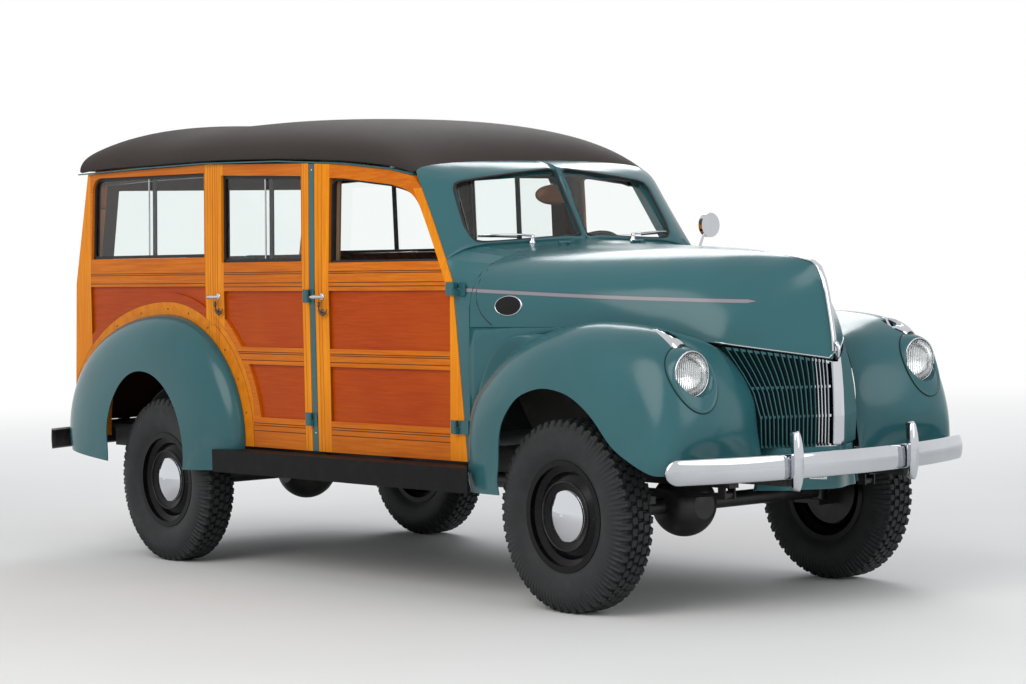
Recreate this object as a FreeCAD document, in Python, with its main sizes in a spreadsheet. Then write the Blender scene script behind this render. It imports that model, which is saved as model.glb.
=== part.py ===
import FreeCAD, Part
import math
import os

import Sketcher
from FreeCAD import Placement, Rotation, Vector

# A wood-bodied four-wheel-drive station wagon, standing on its wheels.
# Frame: X forwards, Y to the left, Z up, millimetres; the origin is on the ground,
# midway between the faces of the two bumpers, on the centre plane.

os.makedirs("parts", exist_ok=True)
doc = FreeCAD.newDocument("StationWagon")

# ---------------------------------------------------------------- driving sizes
sheet = doc.addObject("Spreadsheet::Sheet", "Sizes")

SIZES = (
    # alias, value
    ("wheelbase", 2845), ("front_overhang", 837.5), ("rear_overhang", 1187.5),
    ("front_track", 1458), ("rear_track", 1484),
    ("tyre_radius", 380), ("tyre_width", 180), ("tread_width", 132), ("bead_radius", 203),
    ("rim_radius", 221), ("rim_width", 128), ("rim_wall", 5), ("cap_radius", 100), ("cap_height", 34),
    ("disc_inset", 22), ("drum_radius", 150), ("drum_depth", 62), ("bearing_radius", 32),
    ("running_gap", 0.05), ("moving_gap", 6), ("shut_gap", 5),
    ("kingpin_half", 629), ("kingpin_radius", 16), ("knuckle_radius", 52),
    ("axle_tube", 32), ("rear_axle_tube", 38), ("differential_radius", 132),
    ("front_differential_side", 149), ("rear_differential_radius", 145),
    ("spring_width", 45), ("spring_thickness", 30), ("spring_half_length", 500),
    ("front_spring_half", 390), ("rear_spring_half", 500),
    ("rail_height", 105), ("rail_width", 50), ("rail_top", 595), ("rail_wall", 6),
    ("body_half", 755), ("panel_thickness", 45), ("floor_thickness", 20),
    ("axle_to_cowl", 677.5), ("front_door_length", 1005), ("rear_door_length", 760),
    ("post_width", 40), ("sill_bottom", 560), ("skin_wall", 5),
    ("fender_half", 875), ("board_top", 548), ("board_thickness", 26), ("board_width", 118),
    ("bumper_height", 100), ("bumper_middle", 580), ("bumper_half", 832), ("bumper_radius", 1983),
    ("bumper_wall", 10), ("guard_half", 321), ("guard_width", 46), ("guard_height", 230),
    ("guard_depth", 26), ("lamp_radius", 88), ("lamp_half", 628), ("lamp_middle", 942),
    ("glass_wall", 6), ("steering_radius", 215), ("steering_rim", 11), ("column_radius", 19),
    ("column_angle", 42), ("bar_pitch", 24), ("bar_wall", 6),
    ("skirt_height", 101), ("skirt_wall", 8),
    ("hinge_pin", 4.5), ("hinge_barrel", 9), ("hinge_plate", 4), ("hinge_half", 28),
)
for row, (alias, value) in enumerate(SIZES, start=1):
    sheet.set("A%d" % row, alias)
    sheet.set("B%d" % row, str(value))
    sheet.setAlias("B%d" % row, alias)
doc.recompute()


class Size(float):
    """A number that also carries the spreadsheet expression it was worked out by."""

    def __new__(cls, number, text=None):
        size = float.__new__(cls, number)
        size.text = text or "%.6f" % number
        return size

    def joined(self, sign, other, number, swapped=False):
        other_text = getattr(other, "text", "%.6f" % other)
        left, right = (other_text, self.text) if swapped else (self.text, other_text)
        return Size(number, "(%s %s %s)" % (left, sign, right))

    def __add__(self, other):
        return self.joined("+", other, float(self) + float(other))

    def __radd__(self, other):
        return self.joined("+", other, float(other) + float(self), True)

    def __sub__(self, other):
        return self.joined("-", other, float(self) - float(other))

    def __rsub__(self, other):
        return self.joined("-", other, float(other) - float(self), True)

    def __mul__(self, other):
        return self.joined("*", other, float(self) * float(other))

    def __rmul__(self, other):
        return self.joined("*", other, float(other) * float(self), True)

    def __truediv__(self, other):
        return self.joined("/", other, float(self) / float(other))

    def __neg__(self):
        return Size(-float(self), "(-1 * %s)" % self.text)


class Sizes:
    """The sheet's cells by name."""

    def __getattr__(self, alias):
        return Size(float(sheet.get(alias)), "Sizes." + alias)


v = Sizes()

# ------------------------------------------------------------- datum positions
front_axle = (v.wheelbase + v.rear_overhang - v.front_overhang) / 2
rear_axle = front_axle - v.wheelbase
hub_height = v.tyre_radius
cowl = front_axle - v.axle_to_cowl
centre_post = cowl - v.front_door_length
rear_post = centre_post - v.post_width - v.rear_door_length
rear_end = rear_axle - 877.5
floor_top = v.rail_top + v.floor_thickness
firewall = front_axle - 654.5
FIREWALL_WALL = 12
BELT = 1300
GUARD_ROOT = 34
SIDES = (("left", 1), ("right", -1))

built = {}


# ------------------------------------------------------------------- helpers
def keep(name, shape, placement=None):
    """A sub-part whose shape comes from Part's own functions."""
    feature = doc.addObject("Part::Feature", name)
    feature.Label = name
    feature.Shape = shape
    feature.Placement = placement or shape.Placement
    built[name] = feature
    return feature


def bind(thing, prop, size):
    """Set one property to a size and tie it to the sheet."""
    if getattr(size, "text", None) and "Sizes." in size.text:
        thing.setExpression(prop, size.text)
    return thing


def place(thing, x, y, z, turn=None):
    """Put a sub-part at a point, turned about Z by so many degrees."""
    rotation = Rotation(Vector(0, 0, 1), turn or 0)
    thing.Placement = Placement(Vector(x, y, z), rotation)
    for axis, size in (("x", x), ("y", y), ("z", z)):
        bind(thing, "Placement.Base." + axis, size)


def draw(body, name, plane, outline):
    """A closed sketch on one of the body's own planes.

    outline: (x, y) corners; (x, y, radius) starts an arc to the next corner that bulges
    to the right of its run, or to the left when the radius is negative.
    """
    sketch = body.newObject("Sketcher::SketchObject", name)
    origin = next(f for f in body.Origin.OriginFeatures if f.Role == plane)
    sketch.AttachmentSupport = [(origin, "")]
    sketch.MapMode = "FlatFace"
    ends = []
    for spot, corner in enumerate(outline):
        after = outline[(spot + 1) % len(outline)]
        start = Vector(corner[0], corner[1], 0)
        stop = Vector(after[0], after[1], 0)
        if len(corner) == 2:
            edge = sketch.addGeometry(Part.LineSegment(start, stop), False)
            ends.append((edge, 1, 2))
            continue
        side = 1 if corner[2] > 0 else -1
        radius = abs(float(corner[2]))
        half = (stop - start) * 0.5
        rise = math.sqrt(max(radius * radius - half.Length * half.Length, 0.0))
        normal = Vector(-half.y, half.x, 0).normalize() * side
        centre = start + half + normal * rise
        angles = [math.atan2(p.y - centre.y, p.x - centre.x) for p in (start, stop)]
        if side < 0:
            angles.reverse()
        circle = Part.Circle(centre, Vector(0, 0, 1), radius)
        edge = sketch.addGeometry(Part.ArcOfCircle(circle, angles[0], angles[1]), False)
        ends.append((edge, 1, 2) if side > 0 else (edge, 2, 1))
        limit = sketch.addConstraint(Sketcher.Constraint("Radius", edge, radius))
        bind(sketch, "Constraints[%d]" % limit, corner[2] if side > 0 else -corner[2])
    for spot, corner in enumerate(outline):
        edge, first, last = ends[spot]
        before, ignored, before_last = ends[spot - 1]
        sketch.addConstraint(Sketcher.Constraint("Coincident", before, before_last, edge, first))
        for kind, axis, size in (("DistanceX", -2, corner[0]), ("DistanceY", -1, corner[1])):
            if abs(float(size)) < 1e-9:
                sketch.addConstraint(Sketcher.Constraint("PointOnObject", edge, first, axis))
                continue
            made = Sketcher.Constraint(kind, -1, 1, edge, first, float(size))
            limit = sketch.addConstraint(made)
            bind(sketch, "Constraints[%d]" % limit, size)
    return sketch


def turned(name, outline, angle=360):
    """A body revolved about its own Y axis from an outline of (radius, y) corners."""
    body = doc.addObject("PartDesign::Body", name)
    body.Label = name
    sketch = draw(body, name + "_profile", "XY_Plane", outline)
    made = body.newObject("PartDesign::Revolution", name + "_turn")
    made.Profile = (sketch, [""])
    made.ReferenceAxis = (sketch, ["V_Axis"])
    made.Angle = angle
    sketch.Visibility = False
    built[name] = body
    return body


def padded(name, plane, outline, length, middle=True):
    """A body padded from an outline on one of its planes."""
    body = doc.addObject("PartDesign::Body", name)
    body.Label = name
    sketch = draw(body, name + "_outline", plane, outline)
    made = body.newObject("PartDesign::Pad", name + "_pad")
    made.Profile = (sketch, [""])
    made.Length = float(length)
    made.Midplane = middle
    bind(made, "Length", length)
    built[name] = body
    return body


def dome_radius(half, rise):
    """Radius of the arc that rises so far over so wide a half chord."""
    return (half * half + rise * rise) / (rise * 2)


def mirrored(shape):
    """The same shape on the other side of the centre plane."""
    return shape.mirror(Vector(0, 0, 0), Vector(0, 1, 0))


def both(shape):
    """A left-hand shape with its right-hand twin, as two solids."""
    return Part.Compound([shape, mirrored(shape)])


def box(x0, x1, y0, y1, z0, z1):
    return Part.makeBox(x1 - x0, y1 - y0, z1 - z0, Vector(x0, y0, z0))


def rod(start, stop, radius):
    run = stop - start
    return Part.makeCylinder(radius, run.Length, start, run)


def knuckled(shape, start, stop, radius, pin):
    """The shape with a hinge knuckle added round a pin's line and bored to run on the pin."""
    run = (stop - start).normalize() * 60
    shape = shape.fuse(rod(start, stop, radius))
    return shape.cut(rod(start - run, stop + run, float(pin + v.running_gap))).removeSplitter()


def fused(shapes):
    shape = shapes[0].multiFuse(shapes[1:])
    return shape.removeSplitter()


def prism(points, y0, y1):
    """A side outline of (x, z) points, from y0 to y1."""
    wire = Part.makePolygon([Vector(x, y0, z) for x, z in points + points[:1]])
    return Part.Face(wire).extrude(Vector(0, y1 - y0, 0))


def ruled(sections):
    """A solid through flat polygons of matching corners, with straight edges between them."""
    wires = [Part.makePolygon(list(corners) + [corners[0]]) for corners in sections]
    solid = Part.makeLoft(wires, True, True)
    if solid.Volume < 0:
        solid.reverse()
    return solid


def oval(x, z, half_x, half_z, y0, y1):
    """An elliptical disc standing across the car, from y0 to y1."""
    high, wide = max(half_x, half_z), min(half_x, half_z)
    ellipse = Part.Ellipse()
    ellipse.Center = Vector(0, 0, 0)
    ellipse.MajorRadius, ellipse.MinorRadius = high, wide
    shape = Part.Face(Part.Wire(ellipse.toShape()))
    if half_z > half_x:
        shape.rotate(Vector(), Vector(0, 0, 1), 90)
    shape.rotate(Vector(), Vector(1, 0, 0), 90)
    shape.translate(Vector(x, y0, z))
    return shape.extrude(Vector(0, y1 - y0, 0))


def quarter(start, stop, bulge, steps):
    """Points from start to stop that leave across the car and arrive along the fall."""
    points = []
    for step in range(steps + 1):
        turn = math.pi / 2 * step / steps
        out = math.sin(turn) ** (2 / bulge) if step else 0.0
        fall = 1 - math.cos(turn) ** (2 / bulge) if step < steps else 1.0
        points.append(Vector(start.x + (stop.x - start.x) * fall,
                             start.y + (stop.y - start.y) * out,
                             start.z + (stop.z - start.z) * fall))
    return points


def arch(edge, ridge, bulge, steps):
    """Points of a section from its left edge over the ridge to its right edge."""
    left = quarter(ridge, edge, bulge, steps)[::-1]
    right = [Vector(p.x, -p.y, p.z) for p in left[-2::-1]]
    return left + right


def spread(points, count):
    """The polyline's points shared out evenly along its length."""
    lengths = [0.0]
    for near, far in zip(points, points[1:]):
        lengths.append(lengths[-1] + (far - near).Length)
    evenly = []
    for step in range(count):
        target = lengths[-1] * step / (count - 1)
        spot = max(i for i in range(len(points) - 1) if lengths[i] <= target + 1e-9)
        share = (target - lengths[spot]) / (lengths[spot + 1] - lengths[spot])
        evenly.append(points[spot] + (points[spot + 1] - points[spot]) * share)
    return evenly


def flow(stations, values, at):
    """The value at a station on a smooth curve through rising stations, with no overshoot."""
    spans = [b - a for a, b in zip(stations, stations[1:])]
    slopes = [(b - a) / span for a, b, span in zip(values, values[1:], spans)]
    leads = [slopes[0]]
    for before, after in zip(slopes, slopes[1:]):
        leads.append(2 * before * after / (before + after) if before * after > 0 else 0.0)
    leads.append(slopes[-1])
    spot = max(i for i in range(len(spans)) if stations[i] <= at + 1e-6)
    share = (at - stations[spot]) / spans[spot]
    rise = share * share * (3 - 2 * share)
    return (values[spot] + (values[spot + 1] - values[spot]) * rise
            + leads[spot] * spans[spot] * share * (1 - share) ** 2
            - leads[spot + 1] * spans[spot] * share * share * (1 - share))


def even_rows(table, count):
    """Rows evenly spaced along a table of sections, on smooth curves through the table's rows."""
    stations = [0.0]
    for near, far in zip(table, table[1:]):
        stations.append(stations[-1] + math.dist(near, far))
    columns = list(zip(*table))
    return [[flow(stations, column, stations[-1] * step / (count - 1)) for column in columns]
            for step in range(count)]


def inward(rows, wall):
    """The same grid of points moved one wall thickness along the surface's normal."""
    high, wide = len(rows), len(rows[0])
    moved = []
    for i in range(high):
        line = []
        for j in range(wide):
            along = rows[min(i + 1, high - 1)][j] - rows[max(i - 1, 0)][j]
            across = rows[i][min(j + 1, wide - 1)] - rows[i][max(j - 1, 0)]
            normal = along.cross(across)
            line.append(rows[i][j] + normal.normalize() * wall)
        moved.append(line)
    return moved


def border(outer, inner):
    """The narrow face between two border curves that run side by side."""
    turned_back = inner.copy()
    turned_back.reverse()
    faces = [Part.makeRuledSurface(outer.toShape(), curve.toShape()) for curve in (inner, turned_back)]
    return min(faces, key=lambda face: face.Area)


def skin(rows, wall):
    """A closed sheet of one wall thickness behind a grid of points."""
    surfaces = []
    for grid in (rows, inward(rows, wall)):
        surface = Part.BSplineSurface()
        surface.interpolate(grid)
        surfaces.append(surface)
    faces = [surface.toShape() for surface in surfaces]
    borders = []
    for surface in surfaces:
        u0, u1, v0, v1 = surface.bounds()
        borders.append([surface.uIso(u0), surface.uIso(u1), surface.vIso(v0), surface.vIso(v1)])
    faces += [border(outer, inner) for outer, inner in zip(*borders)]
    shell = Part.makeShell(faces)
    shell.sewShape()
    solid = Part.makeSolid(shell)
    if solid.Volume < 0:
        solid.reverse()
    return solid


# ----------------------------------------------------------------- body surface
def side_half(x, z):
    """Half-width of the body's outer face at a station and height."""
    ahead = max(0.0, (x - centre_post) / float(v.front_door_length))
    behind = max(0.0, (rear_post - x) / float(rear_post - rear_end))
    low = v.body_half - 15 * ahead - 4 * behind
    belt = v.body_half - 36 * ahead - 4 * behind
    top = v.body_half - 13 - 145 * ahead - 8 * behind
    if z < BELT:
        return float(low + (belt - low) * max(0.0, z - v.sill_bottom) / (BELT - v.sill_bottom))
    return float(belt + (top - belt) * (z - BELT) / 545.0)


def side_slab(x_back, x_front, outer=0.0, wall=None):
    """The left-hand body side between two stations, from below the sill to above the eave."""
    wall = float(wall or v.panel_thickness)
    sections = []
    for x in (x_back, x_front):
        outline = []
        for z in (500, BELT, 1900):
            outline.append(Vector(x, side_half(x, z) - outer, z))
        for z in (1900, BELT, 500):
            outline.append(Vector(x, side_half(x, z) - outer - wall, z))
        sections.append(outline)
    return ruled(sections)


def front_seam(z):
    """Station of the seam ahead of the front door: it leans back, and above the belt with the windshield."""
    return float(cowl) + 2 - (min(z, BELT) - 700) * 0.127 - max(0.0, z - BELT) * 0.665


# Eave stations: distance ahead of the front axle, half-width, eave height, rise to the ridge
EAVE = (
    (-3659.5, 738, 1848, 180),
    (-3120.0, 742, 1858, 196),
    (-2544.5, 744, 1862, 190),
    (-1944.5, 744, 1850, 182),
    (-1489.5, 714, 1824, 164),
    (-1222.5, 680, 1794, 118),
    (-1082.5, 652, 1764, 44),
)


def eave_height(x):
    """Height of the roof's lower edge at a station."""
    ahead = x - front_axle
    for (x0, y0, z0, r0), (x1, y1, z1, r1) in zip(EAVE, EAVE[1:]):
        if ahead <= x1:
            return z0 + (z1 - z0) * (ahead - x0) / (x1 - x0)
    return EAVE[-1][2] + (ahead - EAVE[-1][0]) * -0.3


# Hood sections: lower edge (ahead of the axle, half-width, height), ridge (ahead, height), squareness
HOOD = (
    (-637.5, 728, 1112, -637.5, 1440, 3.2),
    (-422.5, 676, 1112, -422.5, 1432, 3.1),
    (-207.5, 618, 1112, -207.5, 1423, 3.0),
    (77.5, 520, 1088, 77.5, 1411, 2.6),
    (277.5, 412, 1065, 290, 1397, 2.1),
    (433, 336, 1040, 433, 1381, 1.53),
    (560, 193, 1009, 560, 1364, 1.39),
    (632, 109, 991.5, 632, 1338, 1.18),
    (663, 70.6, 984, 663, 1291, 1.04),
    (685, 43, 978.6, 685, 1198, 1.0),
    (702, 20.6, 974, 702, 1104, 1.0),
    (712, 14, 972, 712, 1000, 1.0),
)

# Front fender sections: inner edge, crown and lip, each (ahead of the axle, half-width, height)
FRONT_FENDER = (
    ((-590, 706, 445), (-586, 770, 445), (-362, 822, 445)),
    ((-606, 706, 600), (-600, 766, 600), (-352, 832, 570)),
    ((-612, 714, 700), (-594, 758, 700), (-338, 839, 632)),
    ((-612, 718, 800), (-570, 745, 800), (-318, 848, 700)),
    ((-500, 706, 990), (-470, 712, 925), (-246, 862, 792)),
    ((-340, 648, 1088), (-330, 678, 1030), (-138, 872, 860)),
    ((-140, 590, 1088), (-130, 655, 1106), (-4, 875, 884)),
    ((115, 488, 1058), (115, 640, 1138), (138, 872, 858)),
    ((290, 409, 1052), (362, 622, 1113), (262, 862, 770)),
    ((443, 337, 1020), (545, 612, 1020), (362, 852, 664)),
    ((517, 304, 905), (600, 606, 925), (420, 846, 628)),
    ((550, 285, 825), (632, 600, 830), (476, 838, 598)),
    ((562, 274, 650), (628, 566, 650), (580, 792, 558)),
    ((560, 270, 560), (596, 540, 560), (590, 730, 545)),
)

STEPS = 6


def fender_rows():
    rows = []
    for row in even_rows([inner + crown + lip for inner, crown, lip in FRONT_FENDER], 17):
        points = [Vector(float(front_axle) + row[i], row[i + 1], row[i + 2]) for i in (0, 3, 6)]
        rise = quarter(points[1], points[0], 1.4, 12)[::-1]
        rows.append(spread(rise[:-1] + quarter(points[1], points[2], 2.3, 18), 2 * STEPS))
    return rows


# Rear fender: root oval on the body side, longer behind than ahead, and lip oval outside the wheel
ROOT_X, ROOT_TAIL, ROOT_Z, LIP_X, LIP_Z = 620, 857, 560, 336, 372


def rear_fender_rows():
    rows = []
    for degrees in (-14, 0, 24, 48, 72, 96, 120, 144, 166, 190):
        turn = math.radians(degrees)
        reach = ROOT_X if degrees < 90 else ROOT_TAIL
        root = Vector(rear_axle - 27 + reach * math.cos(turn), 0,
                      590 + ROOT_Z * math.sin(turn))
        lip = Vector(rear_axle - 73 + LIP_X * math.cos(turn), 0, 520 + LIP_Z * math.sin(turn))
        root.y = side_half(root.x, root.z) + 0.5
        lip.y = float(v.fender_half) + 8 * math.sin(max(turn, 0.0))
        lip.z = max(lip.z, 445.0)
        rows.append(spread(quarter(root, lip, 2.3, 18), STEPS + 3))
    return rows


# ---------------------------------------------------------------- running gear
def make_tyres_and_wheels():
    half = v.tyre_width / 2
    tread = v.tread_width / 2
    seat = v.rim_width / 2
    wall = v.rim_wall
    tyre = [
        (v.bead_radius, -seat), (v.rim_radius + 1, -seat), (v.rim_radius + 6, -half + 14, 110),
        (v.tyre_radius - 66, -half, 110), (v.tyre_radius - 10, -tread), (v.tyre_radius, -tread + 12),
        (v.tyre_radius, tread - 12), (v.tyre_radius - 10, tread, 110), (v.tyre_radius - 66, half, 110),
        (v.rim_radius + 6, half - 14), (v.rim_radius + 1, seat), (v.bead_radius, seat),
    ]
    flange = v.rim_radius
    well = v.bead_radius - 26
    face = seat - v.disc_inset
    wheel = [
        (v.bearing_radius, face - v.drum_depth - 4), (v.drum_radius, face - v.drum_depth - 4),
        (v.drum_radius, face - 12), (well - 3, face - 26), (well - wall, -seat + 30),
        (v.bead_radius - wall - 1, -seat + 20), (v.bead_radius - wall - 1, -seat - wall),
        (flange, -seat - wall), (flange, -seat - 0.3), (v.bead_radius - 0.3, -seat - 0.3),
        (v.bead_radius - 0.3, -seat + 22), (well, -seat + 32), (well, seat - 32),
        (v.bead_radius - 0.3, seat - 22), (v.bead_radius - 0.3, seat + 0.3), (flange, seat + 0.3),
        (flange, seat + wall), (v.bead_radius - wall - 1, seat + wall),
        (v.bead_radius - wall - 1, seat - 18), (well - wall, seat - 30),
        (v.cap_radius + 36, face + 12, -90), (v.cap_radius, face + 2),
        (v.cap_radius, face + 10, dome_radius(v.cap_radius, v.cap_height - 10)),
        (0, face + v.cap_height), (0, face - 8),
        (v.bearing_radius, face - 8),
    ]
    for end, axle, track in (("front", front_axle, v.front_track), ("rear", rear_axle, v.rear_track)):
        for side, sign in SIDES:
            turn = 0 if sign > 0 else 180
            place(turned("tyre_%s_%s" % (end, side), tyre), axle, track / 2 * sign, hub_height, turn)
            place(turned("wheel_%s_%s" % (end, side), wheel), axle, track / 2 * sign, hub_height, turn)


def make_knuckles():
    """Steering knuckle: a kingpin through the axle's eye, the spindle and the brake's back plate."""
    middle = v.front_track / 2
    face = v.rim_width / 2 - v.disc_inset
    inner = middle + face - v.drum_depth - 4
    spindle_end = middle + face - 14
    height = float(hub_height)
    x = float(front_axle)
    pin = rod(Vector(x, v.kingpin_half, height - 66), Vector(x, v.kingpin_half, height + 66),
              float(v.kingpin_radius))
    yokes = [box(x - 24, x + 24, v.kingpin_half - 24, inner - 12, z0, z1)
             for z0, z1 in ((height + 40, height + 62), (height - 62, height - 40))]
    web = box(x - 24, x + 24, v.kingpin_half + 30, inner - 12, height - 62, height + 62)
    spindle = rod(Vector(x, v.kingpin_half + 40, height), Vector(x, spindle_end, height),
                  v.bearing_radius - float(v.running_gap))
    plate = rod(Vector(x, inner - 14, height), Vector(x, inner - 5, height), v.drum_radius - 4)
    arm = box(x - 150, x - 20, v.kingpin_half + 2, v.kingpin_half + 22, height - 61, height - 45)
    knuckle = fused([pin, web, spindle, plate, arm] + yokes)
    keep("knuckle_left", knuckle)
    keep("knuckle_right", mirrored(knuckle))


def make_axles():
    x, z = float(front_axle), float(hub_height)
    eye_half = float(v.kingpin_half)
    tube = rod(Vector(x, -eye_half + 26, z), Vector(x, eye_half - 26, z), float(v.axle_tube))
    case = Part.makeSphere(float(v.differential_radius), Vector(x, -v.front_differential_side, z))
    case = case.common(box(x - 120, x + 120, -400, 200, z - 140, z + 104))
    nose = rod(Vector(x - 250, -v.front_differential_side, z), Vector(x, -v.front_differential_side, z), 52)
    parts = [tube, case, nose]
    for sign in (1, -1):
        eye = rod(Vector(x, sign * eye_half, z - 38), Vector(x, sign * eye_half, z + 38), 24)
        parts.append(eye)
        parts.append(box(x - 17, x + 17, min(sign * (eye_half - 60), sign * eye_half),
                         max(sign * (eye_half - 60), sign * eye_half), z - 17, z + 17))
        pad = sign * float(v.front_spring_half)
        parts.append(box(x - 60, x + 60, pad - 30, pad + 30, z + 20, z + v.axle_tube + 22))
    axle = fused(parts)
    for sign in (1, -1):
        axle = axle.cut(rod(Vector(x, sign * eye_half, z - 80), Vector(x, sign * eye_half, z + 80),
                            float(v.kingpin_radius + v.running_gap)))
    keep("front_axle", axle)

    x = float(rear_axle)
    face = v.rear_track / 2 + v.rim_width / 2 - v.disc_inset
    inner = float(face - v.drum_depth - 4)
    parts = [
        rod(Vector(x, -inner + 10, z), Vector(x, inner - 10, z), float(v.rear_axle_tube)),
        Part.makeSphere(float(v.rear_differential_radius), Vector(x, 0, z)).common(
            box(x - 125, x + 140, -130, 130, z - 200, z + 200)),
        rod(Vector(x, 0, z), Vector(x + 230, 0, z), 55),
    ]
    for sign in (1, -1):
        parts.append(rod(Vector(x, sign * (inner - 14), z), Vector(x, sign * (inner - 5), z),
                         v.drum_radius - 4))
        parts.append(rod(Vector(x, sign * (inner - 30), z), Vector(x, sign * (face - 14), z),
                         v.bearing_radius - float(v.running_gap)))
        pad = sign * float(v.rear_spring_half)
        parts.append(box(x - 60, x + 60, pad - 30, pad + 30, z + 20, z + v.rear_axle_tube + 16))
    keep("rear_axle", fused(parts))


def make_springs():
    """Four leaf packs, each seated on its axle's pad and reaching up to its two frame eyes."""
    packs = []
    seats = ((front_axle, v.front_spring_half, hub_height + v.axle_tube + 22),
             (rear_axle, v.rear_spring_half, hub_height + v.rear_axle_tube + 16))
    for axle, half, seat in seats:
        x, seat = float(axle), float(seat)
        reach = float(v.spring_half_length)
        eye = float(v.rail_top - v.rail_height) - 26
        leaves = [prism([(x - 60, seat), (x + 60, seat), (x + 300, seat + 8),
                         (x + reach, eye - 6), (x + reach, eye + 6), (x + 300, seat + 24),
                         (x + 60, seat + v.spring_thickness), (x - 60, seat + v.spring_thickness),
                         (x - 300, seat + 24), (x - reach, eye + 6), (x - reach, eye - 6),
                         (x - 300, seat + 8)],
                        half - v.spring_width / 2, half + v.spring_width / 2)]
        for end in (-1, 1):
            leaves.append(rod(Vector(x + end * reach, half - v.spring_width / 2, eye),
                              Vector(x + end * reach, half + v.spring_width / 2, eye), 14))
        pack = fused(leaves)
        packs += [pack, mirrored(pack)]
    keep("leaf_springs", Part.Compound(packs))


def blade_back(tip, y):
    """How far out a bumper blade's back face lies at a side distance, less a hair."""
    radius = float(v.bumper_radius) - float(v.bumper_wall)
    return float(tip) - float(v.bumper_wall) - radius + math.sqrt(radius * radius - y * y) - 0.3


def make_frame():
    low = float(v.rail_top - v.rail_height)
    top = float(v.rail_top)
    width = float(v.rail_width)
    front_y, rear_y = float(v.front_spring_half), float(v.rear_spring_half)
    front_x, rear_x = float(front_axle) + 540, float(rear_axle) - 900
    waist = float(cowl) - 60
    parts = []
    for sign in (1, -1):
        plan = [(rear_x, rear_y), (waist - 500, rear_y), (waist, front_y), (front_x, front_y)]
        outline = [Vector(x, sign * (y + width / 2), low) for x, y in plan]
        outline += [Vector(x, sign * (y - width / 2), low) for x, y in plan[::-1]]
        wire = Part.makePolygon(outline + outline[:1])
        parts.append(Part.Face(wire).extrude(Vector(0, 0, top - low)))
        for axle, half in ((front_axle, front_y), (rear_axle, rear_y)):
            for end in (-1, 1):
                x = axle + end * v.spring_half_length
                for cheek in (-1, 1):
                    face = sign * half + cheek * (v.spring_width / 2 + 3.3)
                    parts.append(box(x - 20, x + 20, face - 3, face + 3, low - 44, low + 4))
    members = ((front_axle + 480, front_y), (front_axle - 330, front_y), (waist - 620, rear_y),
               (rear_axle + 560, rear_y), (rear_axle - 260, rear_y), (rear_axle - 820, rear_y))
    for x, half in members:
        parts.append(box(x - 35, x + 35, -half, half, low + 22, top - 18))
    for x, y in ((650, 436), (150, rear_y), (-350, rear_y)):
        for sign in (1, -1):
            parts.append(box(x - 20, x + 20, min(sign * y, sign * 850), max(sign * y, sign * 850),
                             low + 6, v.board_top - v.board_thickness - 0.2))
    horn = float(v.guard_half)
    front_seat = float(front_axle + v.front_overhang - v.guard_depth) - GUARD_ROOT - 0.3
    rear_seat = -blade_back(v.rear_overhang - rear_axle, horn + 22)
    for sign in (1, -1):
        parts.append(box(front_x - 120, front_seat, sign * horn - 22, sign * horn + 22, low + 14, low + 54))
        parts.append(box(front_x - 120, front_x - 60, min(sign * horn, sign * front_y),
                         max(sign * horn, sign * front_y), low + 14, low + 54))
        parts.append(box(rear_seat, rear_x + 40, sign * horn - 22, sign * horn + 22, low + 14, low + 54))
        parts.append(box(rear_x, rear_x + 60, min(sign * horn, sign * rear_y),
                         max(sign * horn, sign * rear_y), low + 14, low + 54))
    keep("chassis_frame", fused(parts))


def make_drivetrain():
    x = float(front_axle)
    keep("engine_block", fused([
        box(x - 330, x + 300, -250, 250, 640, 1080), box(x - 560, x - 330, -150, 150, 620, 900),
        box(x - 60, x + 60, -365, 365, v.rail_top, 650)]))
    keep("radiator", fused([box(x + 400, x + 470, -280, 280, v.rail_top, 965),
                            box(x + 410, x + 460, -365, 365, v.rail_top, 640),
                            box(x + 400.2, x + 423.8, -660, 660, 925, 960)]))
    side = -float(v.front_differential_side)
    transfer = x - 1120
    case = fused([box(transfer - 130, transfer + 130, -260, 120, 400, 590),
                  box(transfer + 130, x - 560, -90, 90, 460, 585),
                  rod(Vector(transfer - 160, 0, 470), Vector(transfer + 160, 0, 470), 48),
                  rod(Vector(transfer, side, 455), Vector(transfer + 170, side, 455), 44)])
    height = float(hub_height)
    joints = ((transfer + 150, x - 250.3, -40, side, 455, 26), (transfer - 140, rear_axle + 230.3, 40, 0, 470, 30))
    for start, stop, reach, y, drop, radius in joints:
        case = case.fuse(rod(Vector(start, y, drop), Vector(float(stop) + reach / 2, y, height), radius))
        case = case.fuse(rod(Vector(float(stop) + reach, y, height), Vector(float(stop), y, height), radius + 10))
    keep("driveline", case.removeSplitter())
    pipe_y, pipe_z = 330.0, 450.0
    tail = float(rear_axle) - 705
    pipes = [
        rod(Vector(x - 300, -pipe_y, pipe_z), Vector(x - 1500, -pipe_y, pipe_z), 24),
        rod(Vector(x - 1500, -pipe_y, pipe_z), Vector(x - 2050, -pipe_y, pipe_z), 80),
        rod(Vector(x - 2050, -pipe_y, pipe_z), Vector(x - 2300, -pipe_y, pipe_z), 24),
        box(x - 1820, x - 1780, -pipe_y - 12, -pipe_y + 12, pipe_z + 40, v.rail_top),
        box(x - 1820, x - 1780, v.rail_width / 2 - v.rear_spring_half, -pipe_y, 560, v.rail_top - 18),
        box(x - 815, x - 785, -pipe_y - 70, -pipe_y + 12, pipe_z + 10, v.rail_top - v.rail_height),
    ]
    keep("exhaust", fused(pipes))
    rear = float(rear_axle)
    keep("fuel_tank", box(rear - 800, rear - 340, -300, 300, 400, v.rail_top - v.rail_height + 22))


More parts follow.
